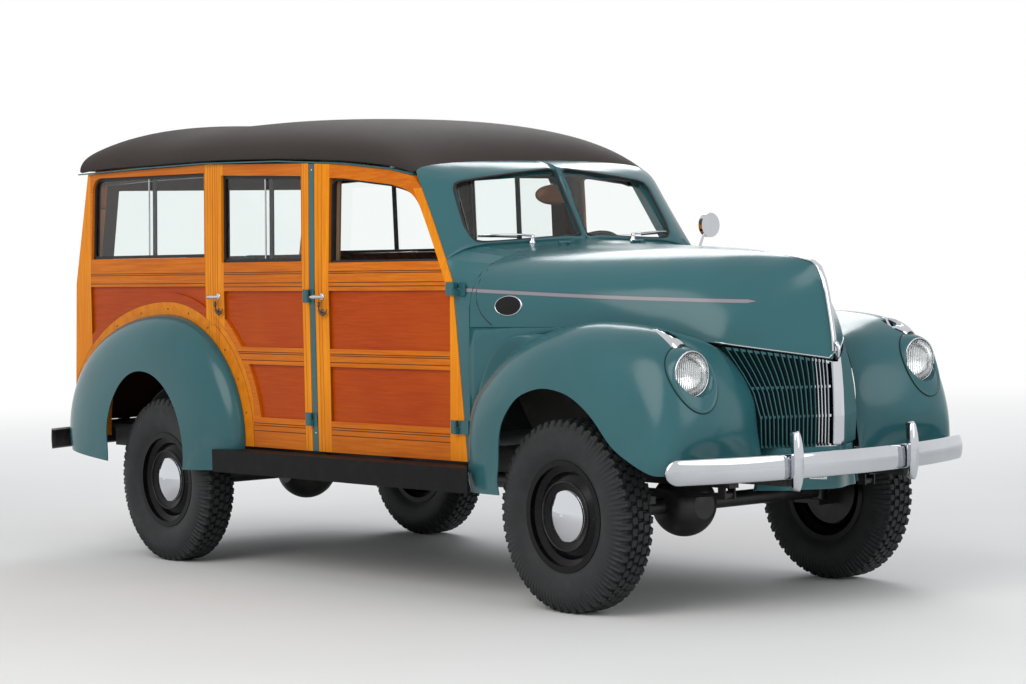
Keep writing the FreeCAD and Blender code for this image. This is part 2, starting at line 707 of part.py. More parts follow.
# ------------------------------------------------------------------ front steel
def make_hood():
    rows = []
    for ahead, half, low, ridge_ahead, ridge, bulge in even_rows(HOOD, 20):
        edge = Vector(float(front_axle) + ahead, half, low)
        peak = Vector(float(front_axle) + ridge_ahead, 0, ridge)
        rows.append(spread(arch(edge, peak, bulge, 24), 4 * STEPS + 1))
    hood = skin(rows, float(v.skin_wall))
    line = hood_line()
    for y in (211, -240):
        arm = box(line.x, line.x + 16, y, y + 29, line.z - 14, line.z)
        arm = knuckled(arm, Vector(line.x, y, line.z), Vector(line.x, y + 29, line.z), 6, v.hinge_pin - 1)
        hood = hood.fuse(arm)
    keep("hood", hood)


def hood_line():
    """The hood hinges' line, in the gap behind the hood's rear edge."""
    return Vector(float(front_axle) + HOOD[0][0] - 2.5, 0, HOOD[0][4] + 7)


def make_fenders():
    front = skin(fender_rows(), -float(v.skin_wall))
    for y, z, radius in ((v.lamp_half, v.lamp_middle, v.lamp_radius + 0.3), (619.0, 1078.0, 30.3)):
        front = front.cut(rod(Vector(front_axle + 400, y, z), Vector(front_axle + 700, y, z), float(radius)))
    keep("front_fenders", both(front))
    rear = skin(rear_fender_rows(), -float(v.skin_wall))
    keep("rear_fenders", both(rear))
    x = float(front_axle)
    panel = ruled([
        [Vector(x - 570, 409, v.rail_top), Vector(x - 570, 415, v.rail_top),
         Vector(x - 570, 684, 1076), Vector(x - 570, 678, 1076)],
        [Vector(x - 200, 409, v.rail_top), Vector(x - 200, 415, v.rail_top),
         Vector(x - 200, 584, 1072), Vector(x - 200, 578, 1072)],
        [Vector(x + 400, 409, v.rail_top), Vector(x + 400, 415, v.rail_top),
         Vector(x + 400, 368, 996), Vector(x + 400, 362, 996)]])
    splash = ruled([
        [Vector(x - 642.2, y, z) for y, z in ((702, 600), (702, 1082), (696, 1082), (696, 600))],
        [Vector(x - 606, y, z) for y, z in ((700, 600), (700, 1082), (694, 1082), (694, 600))],
        [Vector(x - 470, y, z) for y, z in ((692, 930), (680, 1072), (674, 1072), (686, 930))]])
    keep("inner_fenders", both(fused([panel, splash])))


# Grille sections: height, prow and outer edge (both ahead of the axle), half-width
GRILLE = (
    (560, 712, 560, 267),
    (650, 719, 560, 264),
    (750, 723, 565, 270),
    (850, 724, 542, 283),
    (900, 723, 520, 296),
    (950, 720, 493, 312),
    (1000, 716, 461, 326),
    (1040, 716, 432, 336),
)


def grille_span(z):
    """Prow station, edge station and half-width of the grille at a height."""
    low, high = next((a, b) for a, b in zip(GRILLE, GRILLE[1:]) if z <= b[0])
    share = (z - low[0]) / (high[0] - low[0])
    return [a + (b - a) * share for a, b in zip(low[1:], high[1:])]


def grille_front(y, z):
    """How far ahead of the axle the grille's face lies at a side distance and height."""
    prow, edge, half = grille_span(z)
    return prow + (edge - prow) * (abs(y) / half) ** 1.12


def grille_top(y):
    """Height of the grille's upper end, a moving gap below the hood's front edge."""
    return 971 - float(v.moving_gap) - 2 + abs(y) * 0.205


def grille_bar(place_at, half, depth):
    """One upright bar: place_at(z) is its side distance, half its half-width."""
    top = grille_top(place_at(1000))
    sections = []
    for z in (638, 750, 850, 925, top):
        y = place_at(z)
        face = float(front_axle) + grille_front(y, z)
        sections.append([Vector(face - depth, y - half, z), Vector(face, y - half, z),
                         Vector(face, y + half, z), Vector(face - depth, y + half, z)])
    return ruled(sections)


def make_grille():
    x = float(front_axle)
    depth = 26.0
    half = float(v.bar_wall) / 2
    parts = [grille_bar(lambda z: 0.0, 20.0, depth)]
    for sign in (1, -1):
        for spot in range(4):
            parts.append(grille_bar(lambda z: sign * (34 + 11.5 * spot), half, depth))
        count = 13
        for spot in range(count + 1):
            parts.append(grille_bar(
                lambda z: sign * (80 + (grille_span(z)[2] - 5 - 80) * spot / count), half, depth))
    for height in (640, 755, 868, None):
        sections = []
        for step in range(-8, 9):
            y = (grille_span(height)[2] - 3 if height else 325) * step / 8
            z = height or grille_top(y) - 6
            face = x + grille_front(y, z)
            sections.append([Vector(face - depth - 8, y, z - 5), Vector(face - 8, y, z - 5),
                             Vector(face - 8, y, z + 5), Vector(face - depth - 8, y, z + 5)])
        parts.append(ruled(sections))
    for sign in (1, -1):
        parts.append(box(x + 470.2, x + 598, sign * 200 - 8, sign * 200 + 8, 750, 760))
    keep("grille", fused(parts))
    apron = []
    for low, ahead_middle, ahead_edge, reach in ((470, 700, 552, 284), (560, 706, 552, 262), (634.3, 704, 546, 258)):
        line = []
        for step in range(-4, 5):
            y = reach * step / 4
            ahead = ahead_middle + (ahead_edge - ahead_middle) * (abs(y) / reach) ** 1.3
            line.append(Vector(x + ahead, -y, low))
        apron.append(line)
    keep("front_apron", skin(apron, float(v.skin_wall)))


def make_lamps():
    x = float(front_axle)
    face = 574.0
    bowl = [(0, -150), (40, -150), (v.lamp_radius - 30, -130), (v.lamp_radius, -40),
            (v.lamp_radius, 0, dome_radius(v.lamp_radius, 16)), (0, 16)]
    for side, sign in SIDES:
        lamp = turned("lamp_" + side, bowl)
        rotation = Rotation(Vector(0, 0, 1), -90)
        lamp.Placement = Placement(Vector(x + face, sign * v.lamp_half, v.lamp_middle), rotation)
    parking = [(0, -60), (30, -60), (30, 0, dome_radius(30, 14)), (0, 14)]
    for side, sign in SIDES:
        lamp = turned("parking_lamp_" + side, parking)
        rotation = Rotation(Vector(0, 0, 1), -90)
        lamp.Placement = Placement(Vector(x + 530, sign * 619, 1078), rotation)


def make_bumpers():
    radius = float(v.bumper_radius)
    half_height = float(v.bumper_height) / 2
    wall = float(v.bumper_wall)
    sweep = math.degrees(math.asin(float(v.bumper_half) / radius))
    corners = ((radius - wall, -half_height + 8), (radius - 3, -half_height), (radius, 0),
               (radius - 3, half_height), (radius - wall, half_height - 8))
    points = [Vector(r, 0, z) for r, z in corners]
    outline = [Part.Arc(points[1], points[2], points[3]).toShape(),
               Part.makePolygon([points[3], points[4], points[0], points[1]])]
    section = Part.Face(Part.Wire([outline[0]] + outline[1].Edges))
    section.rotate(Vector(), Vector(0, 0, 1), -sweep)
    blade = section.revolve(Vector(), Vector(0, 0, 1), 2 * sweep)
    for end, tip, name in ((1, front_axle + v.front_overhang - v.guard_depth + 8, "front_bumper"),
                           (-1, rear_axle - v.rear_overhang, "rear_bumper")):
        bar = blade.copy()
        middle = float(v.bumper_middle) if end > 0 else 535.0
        if end < 0:
            bar.rotate(Vector(), Vector(0, 0, 1), 180)
        bar.translate(Vector(float(tip) - end * radius, 0, middle))
        parts = [bar]
        if end > 0:
            for sign in (1, -1):
                face = float(front_axle + v.front_overhang)
                post = box(face - v.guard_depth - GUARD_ROOT, face, sign * v.guard_half - v.guard_width / 2,
                           sign * v.guard_half + v.guard_width / 2,
                           v.bumper_middle + 22 - v.guard_height / 2, v.bumper_middle + 22 + v.guard_height / 2)
                post = post.makeFillet(9, post.Edges)
                parts.append(post)
        keep(name, fused(parts))


# ------------------------------------------------------------------ body shell
def patched(rows, inner):
    """A closed sheet like skin's, of flat-edged patches between two grids of points."""
    high, wide = len(rows), len(rows[0])
    faces = []
    for grid in (rows, inner):
        for i in range(high - 1):
            for j in range(wide - 1):
                faces.append(patch(grid[i][j], grid[i][j + 1], grid[i + 1][j + 1], grid[i + 1][j]))
    for i in (0, high - 1):
        for j in range(wide - 1):
            faces.append(patch(rows[i][j], rows[i][j + 1], inner[i][j + 1], inner[i][j]))
    for j in (0, wide - 1):
        for i in range(high - 1):
            faces.append(patch(rows[i][j], rows[i + 1][j], inner[i + 1][j], inner[i][j]))
    shell = Part.makeShell(faces)
    shell.sewShape()
    solid = Part.makeSolid(shell)
    solid.fix(0.001, 0.001, 0.01)
    if solid.Volume < 0:
        solid.reverse()
    return solid


def patch(a, b, c, d):
    """The face between edges a-b and d-c."""
    return Part.makeRuledSurface(Part.makeLine(a, b), Part.makeLine(d, c))


def make_cowl():
    """Cowl sides and top in one hoop, the firewall, and the windshield's pillars and header."""
    gap = float(v.shut_gap) / 2
    front = float(firewall) + FIREWALL_WALL
    seat_x = float(front_axle)
    ahead, half, low, ridge_ahead, ridge, bulge = HOOD[0]
    side_count, top_count = 5, 9
    crown = arch(Vector(front, half, low), Vector(front, 0, ridge), bulge, 24)[:25]
    hoop = spread(crown, side_count + top_count - 1)
    # the rear border: up the door's front edge, then across the windshield's foot
    foot = [Vector(front_seam(z) + gap, side_half(front_seam(z), z), z)
            for z in (low, (low + BELT) / 2, BELT, (BELT + 1390) / 2, 1390)]
    foot += spread([foot[-1], Vector(seat_x - 815, 650, 1416), Vector(seat_x - 823.5, 571, 1441),
                    Vector(seat_x - 741.5, 0, 1468)], top_count)[1:]
    rows = []
    for border_row in (foot, hoop):
        leg = []
        for z in (560.0, 840.0):
            station = front_seam(z) + gap if border_row is foot else front
            leg.append(Vector(station, side_half(station, z), z))
        half_row = leg + border_row
        rows.append(half_row + [Vector(p.x, -p.y, p.z) for p in half_row[-2::-1]])
    inner = inward(rows, 22.0)
    for point in inner[0]:
        point.x = max(point.x, front_seam(point.z) + gap)
    top = patched(rows, inner)
    hoop = rows[1]
    plate = [Vector(float(firewall), p.y * 0.985, max(p.z - 10, float(v.rail_top))) for p in hoop]
    plate = Part.Face(Part.makePolygon(plate + plate[:1])).extrude(Vector(FIREWALL_WALL, 0, 0))
    shapes = [top, plate]
    # windshield pillars and header
    x = seat_x
    foot_back, head_back = front_seam(1390) + gap, front_seam(1742) + gap
    pillar = ruled([
        [Vector(x - 795, 580, 1390), Vector(foot_back, 703, 1390),
         Vector(foot_back, 648, 1390), Vector(x - 838, 566, 1390)],
        [Vector(x - 992, 515, 1742), Vector(head_back, 646, 1742),
         Vector(head_back, 606, 1742), Vector(x - 1034, 500, 1742)]])
    header = ruled([
        [Vector(x - 913, 0, 1757), Vector(x - 1082.5, 0, 1806), Vector(x - 1090, 0, 1780),
         Vector(x - 941, 0, 1739)],
        [Vector(x - 1001, 600, 1725), Vector(x - 1074, 600, 1768), Vector(x - 1086, 600, 1742),
         Vector(x - 1026, 600, 1707)]])
    divider = ruled([
        [Vector(x - 737, -14, 1462), Vector(x - 737, 14, 1462), Vector(x - 765, 14, 1450),
         Vector(x - 765, -14, 1450)],
        [Vector(x - 913, -14, 1769), Vector(x - 913, 14, 1769), Vector(x - 941, 14, 1757),
         Vector(x - 941, -14, 1757)]])
    shapes += [pillar, mirrored(pillar), header, mirrored(header), divider]
    line = hood_line()
    for y in (180, -209):
        end = y + 60 if y > 0 else y - 31
        shapes.append(box(line.x - 16, line.x, y, y + 29, line.z - 14, line.z))
        shapes.append(rod(Vector(line.x, y, line.z), Vector(line.x, y + 29, line.z), 6))
        shapes.append(rod(Vector(line.x, y, line.z), Vector(line.x, end, line.z), float(v.hinge_pin - 1)))
    keep("cowl", fused(shapes))


def make_windshield():
    x = float(front_axle)
    wall = float(v.glass_wall)
    pane = ruled([
        [Vector(x - 754, 14.2, 1476), Vector(x - 754 - wall, 14.2, 1476),
         Vector(x - 830 - wall, 556, 1476), Vector(x - 830, 556, 1476)],
        [Vector(x - 915, 14.2, 1748), Vector(x - 915 - wall, 14.2, 1748),
         Vector(x - 982 - wall, 512, 1722), Vector(x - 982, 512, 1722)]])
    keep("windshield_glass", both(pane))


def door_outline_front():
    """Front door outline in the side view, as (x, z) corners."""
    gap = float(v.shut_gap) / 2
    back = float(centre_post) + gap
    front = [(front_seam(z) - gap, z) for z in (float(v.sill_bottom), BELT, 1693.0)]
    tip = front[-1][0]
    top = [(x, eave_height(x) - 18) for x in (tip - 61, float(front_axle) - 1222.5,
                                              float(front_axle) - 1489.5, back)]
    return [(back, v.sill_bottom + 0.0)] + front + [(tip - 34, 1725.0)] + top


def rounded(shape, corners):
    """The shape with its cross-car edges nearest to the (x, z, radius) corners rounded."""
    for x, z, radius in corners:
        across = [edge for edge in shape.Edges if abs(edge.Vertexes[0].Y - edge.Vertexes[-1].Y) > 100]
        nearest = min(across, key=lambda edge: math.hypot(edge.Vertexes[0].X - x, edge.Vertexes[0].Z - z))
        shape = shape.makeFillet(radius, [nearest])
    return shape


# Half-widths of the door hinges' lines
FRONT_HINGE_HALF, REAR_HINGE_HALF = float(v.body_half) - 2, float(v.body_half) + 12


def recess(x0, x1, z0, z1, depth=12.0):
    """A panel recess cut into the outer face of the left side between two stations."""
    slab = side_slab(x0, x1, -20.0, 20.0 + depth)
    return slab.common(box(x0, x1, 500, 900, z0, z1))


def strap(near, far, lift, sink, low, high):
    """A hinge strap along the left side, lifted off the side up to a foot at its far end."""
    plate = float(v.hinge_plate)
    foot = far + (20 if far < near else -20)
    flat = side_slab(min(near, far), max(near, far), -plate - lift, plate)
    seat = side_slab(min(foot, far), max(foot, far), -plate - lift, plate + lift + sink)
    return flat.fuse(seat).common(box(min(near, far), max(near, far), 500, 900, low, high))


def door_hinge(x, y, z, seat, ahead, behind):
    """One left-hand door hinge: what stays on the post, and what moves with the door.

    ahead, behind: how far each strap reaches from the pin, and its lift off the side
    """
    half, barrel = float(v.hinge_half), float(v.hinge_barrel)
    low, high = z - half, z + half
    fixed = fused([
        rod(Vector(x, y, low), Vector(x, y, high), float(v.hinge_pin)),
        rod(Vector(x, y, low), Vector(x, y, z - 1), barrel),
        box(x, x + 14, side_half(x, low) + ahead[1] - seat + 0.2, y, low, z - 1),
        strap(x + 12, x + ahead[0], ahead[1] - seat, -0.2, low, high)])
    arm = box(x - 14, x - 0.3, side_half(x - 14, high) + (behind[1] or -2), y, z + 1, high)
    arm = arm.fuse(strap(x - 12, x - behind[0], behind[1], 2.0, low, high))
    return fixed, knuckled(arm, Vector(x, y, z + 1), Vector(x, y, high), barrel, v.hinge_pin)


def make_doors():
    gap = float(v.shut_gap) / 2
    fixed_hinges = []
    outline = door_outline_front()
    back, front = outline[0][0], outline[1][0]
    slab = side_slab(back - 1, front + 1).common(prism(outline, 500, 900))
    corner = (front_seam(1676) - 52, 1676.0)
    head = [(x, eave_height(x) - 78) for x in (float(front_axle) - 1200, float(front_axle) - 1489.5, back + 97)]
    window = prism([(back + 97, 1384.0), (front_seam(1384) - 52, 1384.0), corner] + head, 500, 900)
    door = slab.cut(rounded(window, (corner + (220,),)))
    for z0, z1 in ((695, 932), (1010, 1262)):
        door = door.cut(recess(back + 97, float(cowl) - 93, z0, z1))
    hinge_x = float(cowl) - 40
    for z, ahead, behind in ((700, (72, 4), (46, 0)), (1268, (46, 0), (72, 4))):
        fixed, moving = door_hinge(hinge_x, FRONT_HINGE_HALF, z, 0.0, ahead, behind)
        fixed_hinges.append(fixed.cut(built["cowl"].Shape))
        door = door.fuse(moving)
    keep("door_front_left", door)
    keep("door_front_right", mirrored(door))

    back, front = float(rear_post) + gap, float(centre_post - v.post_width) - gap
    reach = ROOT_X + 70 + 2 * gap
    rise = ROOT_Z + 70 + 2 * gap
    outline = [(back, v.sill_bottom + 0.0), (front, v.sill_bottom + 0.0),
               (front, eave_height(front) - 18), (back, eave_height(back) - 18)]
    slab = side_slab(back - 1, front + 1).common(prism(outline, 500, 900))
    slab = slab.cut(oval(rear_axle - 27, 590, reach, rise, 500, 900))
    slab = slab.cut(box(back - 10, rear_axle - 27 + reach, 500, 900, 500, 591))
    window = prism([(back + 70, 1392.0), (front - 56, 1392.0), (front - 56, eave_height(front) - 71),
                    (back + 70, eave_height(back) - 71)], 500, 900)
    door = slab.cut(window)
    edge = oval(rear_axle - 27, 590, reach + 66, rise + 66, 500, 900)
    for z0, z1 in ((695, 932), (1010, 1262)):
        door = door.cut(recess(back + 87, front - 51, z0, z1).cut(edge))
    for z in (700, 1240):
        fixed, moving = door_hinge(front + gap, REAR_HINGE_HALF, z, 1.0, (36, 0), (46, 0))
        fixed_hinges.append(fixed)
        door = door.fuse(moving)
    keep("door_rear_left", door)
    keep("door_hinges", Part.Compound(fixed_hinges + [mirrored(fixed) for fixed in fixed_hinges]))
    keep("door_rear_right", mirrored(door))
    pane = side_slab(back + 40, front - 34, 20.0, float(v.glass_wall)).common(
        prism([(back + 70.3, 1392.3), (front - 56.3, 1392.3), (front - 56.3, eave_height(front) - 71.3),
               (back + 70.3, eave_height(back) - 71.3)], 500, 900))
    keep("door_glass_left", pane)
    keep("door_glass_right", mirrored(pane))


def rear_face(z):
    """Station of the body's rear outer face at a height: it leans forwards, and more above the belt."""
    return float(rear_end) - 15 + (min(z, BELT) - 700) * 0.06 + max(0.0, z - BELT) * 0.2075


def root_arch(margin, y0, y1):
    """The rear fender's root oval, grown by a margin, as a disc through the left side."""
    centre = float(rear_axle) - 27
    ahead = oval(centre, 590, ROOT_X + margin, ROOT_Z + margin, y0, y1)
    behind = oval(centre, 590, ROOT_TAIL + margin, ROOT_Z + margin, y0, y1)
    return ahead.common(box(centre, centre + 2000, y0, y1, 0, 2000)).fuse(
        behind.common(box(centre - 2000, centre, y0, y1, 0, 2000)))


def make_quarters():
    gap = float(v.shut_gap) / 2
    front = float(rear_post) - gap
    foot = float(rear_axle) - 27 + ROOT_X + 70
    slab = side_slab(rear_end - 60, foot + 1)
    lean = [(rear_face(560), 560.0), (foot, 560.0), (foot, 1120.0), (front, 1120.0),
            (front, eave_height(front) - 16), (rear_face(1834), eave_height(rear_face(1834)) - 16),
            (rear_face(BELT), BELT)]
    slab = slab.common(prism(lean, 500, 900))
    band = oval(rear_axle - 27, 590, ROOT_X + 70, ROOT_Z + 70, 400, 950)
    below = box(rear_axle - 27, foot, 400, 950, 559, 590)
    ahead = box(front, foot + 2, 500, 900, 500, 1900)
    corner = slab.common(ahead).common(fused([band, below]))
    quarter_slab = fused([slab.cut(ahead), corner])
    opening = fused([oval(rear_axle - 27, 590, ROOT_X - 8, ROOT_Z - 8, 400, 950),
                     box(rear_axle - 27 - ROOT_X + 8, rear_axle - 27 + ROOT_X - 8, 400, 950, 500, 590)])
    quarter_slab = quarter_slab.cut(opening)
    rear_window = rear_face(BELT) + 145
    corner = (rear_window + 12, 1812.0)
    outline = [(rear_window, 1418.0), (front - 70, 1418.0), (front - 70, 1806.0), corner]
    window = rounded(prism(outline, 500, 900), (corner + (70,),))
    quarter_slab = quarter_slab.cut(window)
    edge = root_arch(105, 500, 900)
    panel = side_slab(rear_end - 30, front, -20.0, 32.0).common(
        box(rear_face(900) + 160, front - 62, 500, 900, 900, 1284))
    quarter_slab = quarter_slab.cut(panel.cut(edge))
    posts = []
    for heights, edge in (((560, BELT, 1830), None), ((1500, 1870), 695)):
        posts.append(ruled([
            [Vector(rear_face(z) + depth, y, z) for depth, y in
             ((0, edge or side_half(rear_end, z)), (0, 652), (60, 652), (60, edge or side_half(rear_end, z)))]
            for z in heights]))
    quarter_slab = fused([quarter_slab] + posts)
    keep("quarter_panels", both(quarter_slab))
    pane = side_slab(rear_window - 10, front - 40, 20.0, float(v.glass_wall)).common(
        window.common(box(rear_window + 0.4, front - 70.4, 500, 900, 1418.4, 1805.6)))
    keep("quarter_glass", both(pane))


def make_body_posts():
    """Sills on the frame, the posts between the doors and the roof rails over them."""
    gap = float(v.shut_gap) / 2
    back, front = float(centre_post - v.post_width) + gap, float(centre_post) - gap
    post = side_slab(back, front, 1.0, 60.0).common(box(back, front, 500, 900, 560, eave_height(front) - 18))
    sill_front, sill_back = float(cowl) - 110, float(rear_axle) + 700
    inner = 560.0
    sill = box(sill_back, sill_front, inner, 690, v.rail_top, floor_top)
    lap = side_slab(back - 26, front + 26, 52.0, 22.0).common(
        box(back - 26, front + 26, 500, 900, v.rail_top, eave_height(front + 26) - 18))
    rail_sections = []
    rear_stop, front_stop = rear_face(1840) + 60.3 - front_axle, -1094.0
    for ahead, half, eave, rise in EAVE:
        ahead = min(max(ahead, rear_stop), front_stop)
        x = float(front_axle) + ahead
        outer = min(half, side_half(x, 1800)) - 52
        rail_sections.append([Vector(x, outer, eave - 72), Vector(x, outer - 34, eave - 72),
                              Vector(x, outer - 34, eave - 17), Vector(x, outer, eave - 17)])
    rail = ruled(rail_sections)
    keep("body_posts", both(fused([post, lap, sill, rail])))


def make_roof():
    rows = []
    for ahead, half, eave, rise in EAVE:
        x = float(front_axle) + ahead
        rows.append(arch(Vector(x, half, eave), Vector(x, 0, eave + rise), 2.2, STEPS + 1))
    shell = skin(rows, 14.0)
    ahead, half, eave, rise = EAVE[0]
    x = float(front_axle) + ahead
    plate = [Vector(x + 6, p.y * 0.991, max(p.z - 6, eave + 2)) for p in rows[0]]
    plate = Part.Face(Part.makePolygon(plate + plate[:1])).extrude(Vector(14, 0, 0))
    keep("roof", fused([shell, plate]))
    strip = []
    for ahead, half, eave, rise in EAVE:
        x = float(front_axle) + ahead
        strip.append([Vector(x, half + 12, eave - 10), Vector(x, half - 30, eave - 10),
                      Vector(x, half - 30, eave - 14), Vector(x, half + 12, eave - 16)])
    keep("drip_rail", both(ruled(strip)))


def make_floor():
    front, back = float(firewall) - 0.3, rear_face(600) + 62
    y = 559.0
    plate = box(back, front, -y, y, v.rail_top, floor_top)
    toe = box(float(cowl) - 109, front, -655, 655, v.rail_top, floor_top)
    rear_fill = box(back, float(rear_axle) + 699, -690, 690, v.rail_top, floor_top)
    wheel_x, radius = float(rear_axle), float(v.tyre_radius) + 62
    floor = fused([plate, toe, rear_fill])
    houses = []
    for sign in (1, -1):
        y0, y1 = (560.0, 705.0) if sign > 0 else (-705.0, -560.0)
        outer = rod(Vector(wheel_x, y0, hub_height), Vector(wheel_x, y1, hub_height), radius + 5)
        void = rod(Vector(wheel_x, min(y0, y1) + (5 if sign > 0 else -1), hub_height),
                   Vector(wheel_x, max(y0, y1) + (1 if sign > 0 else -5), hub_height), radius)
        above = box(wheel_x - 600, wheel_x + 600, -800, 800, v.rail_top, 1200)
        floor = floor.cut(outer)
        houses.append(outer.cut(void).common(above))
    seats = []
    for spot in seat_spots():
        seats.append(box(spot - 190, spot + 150, -420, 420, floor_top, 800))
    keep("floor", fused([floor] + houses + seats))


def seat_spots():
    """Stations of the three seats' cushions."""
    return (float(centre_post) + 190, float(rear_post) + 250, float(rear_axle) + 30)


def make_seats():
    names = ("seat_front", "seat_middle", "seat_rear")
    halves = (600, 560, 520)
    for name, spot, half in zip(names, seat_spots(), halves):
        cushion = box(spot - 215, spot + 265, -half, half, 800.3, 950)
        cushion = cushion.makeFillet(28, cushion.Edges)
        back = box(-60, 60, -half, half, 0, 540)
        back = back.makeFillet(28, back.Edges)
        back.rotate(Vector(), Vector(0, 1, 0), -12)
        back.translate(Vector(spot - 240, 0, 900))
        back = back.cut(cushion.copy())
        keep(name, fused([cushion, back]))


def make_dashboard():
    x = float(cowl) - 70
    panel = ruled([
        [Vector(x, y, 1350), Vector(x - 40, y, 1120), Vector(x - 52, y, 1124), Vector(x - 16, y, 1352)]
        for y in (-575, 575)])
    ledge = box(x - 20, float(firewall), -575, 575, 1336, 1346)
    angle = math.radians(float(v.column_angle))
    middle = steering_middle()
    down = Vector(math.cos(angle), 0, -math.sin(angle))
    column = rod(middle + down * 45, middle + down * 620, float(v.column_radius))
    column = column.common(box(0, float(firewall), -900, 900, floor_top, 2000))
    bracket = box(x - 62, x - 40, 338, 362, 985, 1126)
    shaft = rod(middle + down * 16, middle + down * 60, 10)
    keep("dashboard", fused([panel, ledge, column, bracket, shaft]))


def steering_middle():
    return Vector(float(cowl) - 495, 350, 1335)


def make_steering_wheel():
    radius, rim = float(v.steering_radius), float(v.steering_rim)
    ring = Part.makeTorus(radius - rim, rim)
    hub = Part.makeCylinder(34, 46, Vector(0, 0, -40))
    spokes = [rod(Vector(0, 0, -8), Vector((radius - rim) * math.cos(turn),
                                          (radius - rim) * math.sin(turn), 0), 7)
              for turn in (math.pi, math.pi / 3, -math.pi / 3)]
    socket = Part.makeCylinder(10 + float(v.running_gap), 30, Vector(0, 0, -44))
    wheel = fused([ring, hub] + spokes).cut(socket)
    tilt = Rotation(Vector(0, 1, 0), float(v.column_angle) - 90)
    keep("steering_wheel", wheel, Placement(steering_middle(), tilt))


def tail_line(z):
    """A gate's hinge line, outside the body's rear face."""
    return Vector(rear_face(z) - 10, 0, z)


def pinned(line, y, low, high):
    """The fixed half of a gate's hinge: arm, barrel and pin."""
    return [box(line.x, line.x + 20, y, y + 29, low, high),
            rod(Vector(line.x, y, line.z), Vector(line.x, y + 29, line.z), 8),
            rod(Vector(line.x, y, line.z), Vector(line.x, y + 60, line.z), float(v.hinge_pin))]


def make_tail():
    gap = float(v.shut_gap)
    half = 652 - gap
    bottom, top = 625.0, BELT - 6.0
    gate = ruled([
        [Vector(rear_face(z) + depth, y, z) for depth, y in ((0, -half), (0, half), (45, half), (45, -half))]
        for z in (bottom, top)])
    for z0, z1 in ((700, 940), (1000, 1230)):
        for y0, y1 in ((-half + 70, -40), (40, half - 70)):
            pocket = ruled([[Vector(rear_face(z) + depth, y, z) for depth, y in
                             ((-8, y0), (-8, y1), (12, y1), (12, y0))] for z in (z0, z1)])
            gate = gate.cut(pocket)
    line = tail_line(622)
    for y in (-500, -15, 470):
        arm = box(line.x - 2, rear_face(655) + 3, y + 31, y + 60, line.z + 2, 655)
        gate = gate.fuse(knuckled(arm, Vector(line.x, y + 31, line.z), Vector(line.x, y + 60, line.z), 8, v.hinge_pin))
    keep("tailgate", gate)
    lower, upper = BELT + 2.0, 1826.0
    lift = ruled([
        [Vector(rear_face(z) + depth, y, z) for depth, y in ((0, -half), (0, half), (45, half), (45, -half))]
        for z in (lower, upper)])
    hole = ruled([[Vector(rear_face(z) + depth, y, z) for depth, y in
                   ((-8, -half + 72), (-8, half - 72), (60, half - 72), (60, -half + 72))]
                  for z in (1400, 1752)])
    lift = lift.cut(hole)
    line = tail_line(1830)
    header = [box(rear_face(1834) + 2, rear_face(1834) + 61, -651.7, 651.7, 1834, 1868)]
    for y in (-400, 340):
        arm = box(line.x - 2, rear_face(1800) + 4, y + 31, y + 60, 1800, line.z - 2)
        lift = lift.fuse(knuckled(arm, Vector(line.x, y + 31, line.z), Vector(line.x, y + 60, line.z), 8, v.hinge_pin))
        header += pinned(line, y, line.z, line.z + 24)
    keep("liftgate", lift)
    keep("rear_header", fused(header))
    glass = ruled([[Vector(rear_face(z) + depth, y, z) for depth, y in
                    ((18, -half + 72.3), (18, half - 72.3), (24, half - 72.3), (24, -half + 72.3))]
                   for z in (1400.3, 1751.7)])
    keep("liftgate_glass", glass)
    line = tail_line(622)
    sill = [box(rear_face(600) + 2, rear_face(600) + 61.7, -651.7, 651.7, v.rail_top, 620)]
    for y in (-500, -15, 470):
        sill += pinned(line, y, line.z - 24, line.z)
    keep("rear_sill", fused(sill))


def make_sides():
    """Running boards, trimmed to the two fenders' tails, and the driver's mirror."""
    inner, outer = v.body_half - 6, v.body_half - 6 + v.board_width
    rear = rear_axle - 27 + ROOT_X
    front = cowl + 55
    for side, sign in SIDES:
        corners = [(rear + 18, inner), (rear + 10, inner + 48), (rear - 36, inner + 88),
                   (rear - 106, outer), (front + 118, outer), (front + 86, inner + 87),
                   (front + 36, inner + 63), (front + 8, inner + 26), (front + 8, inner)]
        corners = [(x, y * sign) for x, y in corners]
        board = padded("running_board_" + side, "XY_Plane", corners[::sign], v.board_thickness, False)
        skirt = [(rear - 106, outer - v.skirt_wall), (front + 118, outer - v.skirt_wall),
                 (front + 118, outer), (rear - 106, outer)]
        skirt = [(x, y * sign) for x, y in skirt]
        made = board.newObject("PartDesign::Pad", "skirt_pad_" + side)
        made.Profile = (draw(board, "skirt_outline_" + side, "XY_Plane", skirt[::sign]), [""])
        made.Length = float(v.skirt_height - v.board_thickness)
        bind(made, "Length", v.skirt_height - v.board_thickness)
        made.Reversed = True
        place(board, 0, 0, v.board_top - v.board_thickness)
    x = float(cowl) - 150
    head = rod(Vector(x + 10, 812, 1512), Vector(x - 12, 812, 1512), 55)
    stem = rod(Vector(x + 44, 688, 1370), Vector(x - 4, 790, 1490), 6)
    mirror = fused([head, stem]).cut(built["cowl"].Shape)
    keep("side_mirror", max(mirror.Solids, key=lambda solid: solid.Volume))


make_tyres_and_wheels()
make_knuckles()
make_axles()
make_springs()
make_frame()
make_drivetrain()
make_hood()
make_fenders()
make_grille()
make_lamps()
make_bumpers()
make_cowl()
make_windshield()
make_doors()
make_quarters()
make_body_posts()
make_roof()
make_floor()
make_seats()
make_dashboard()
make_steering_wheel()
make_tail()
make_sides()

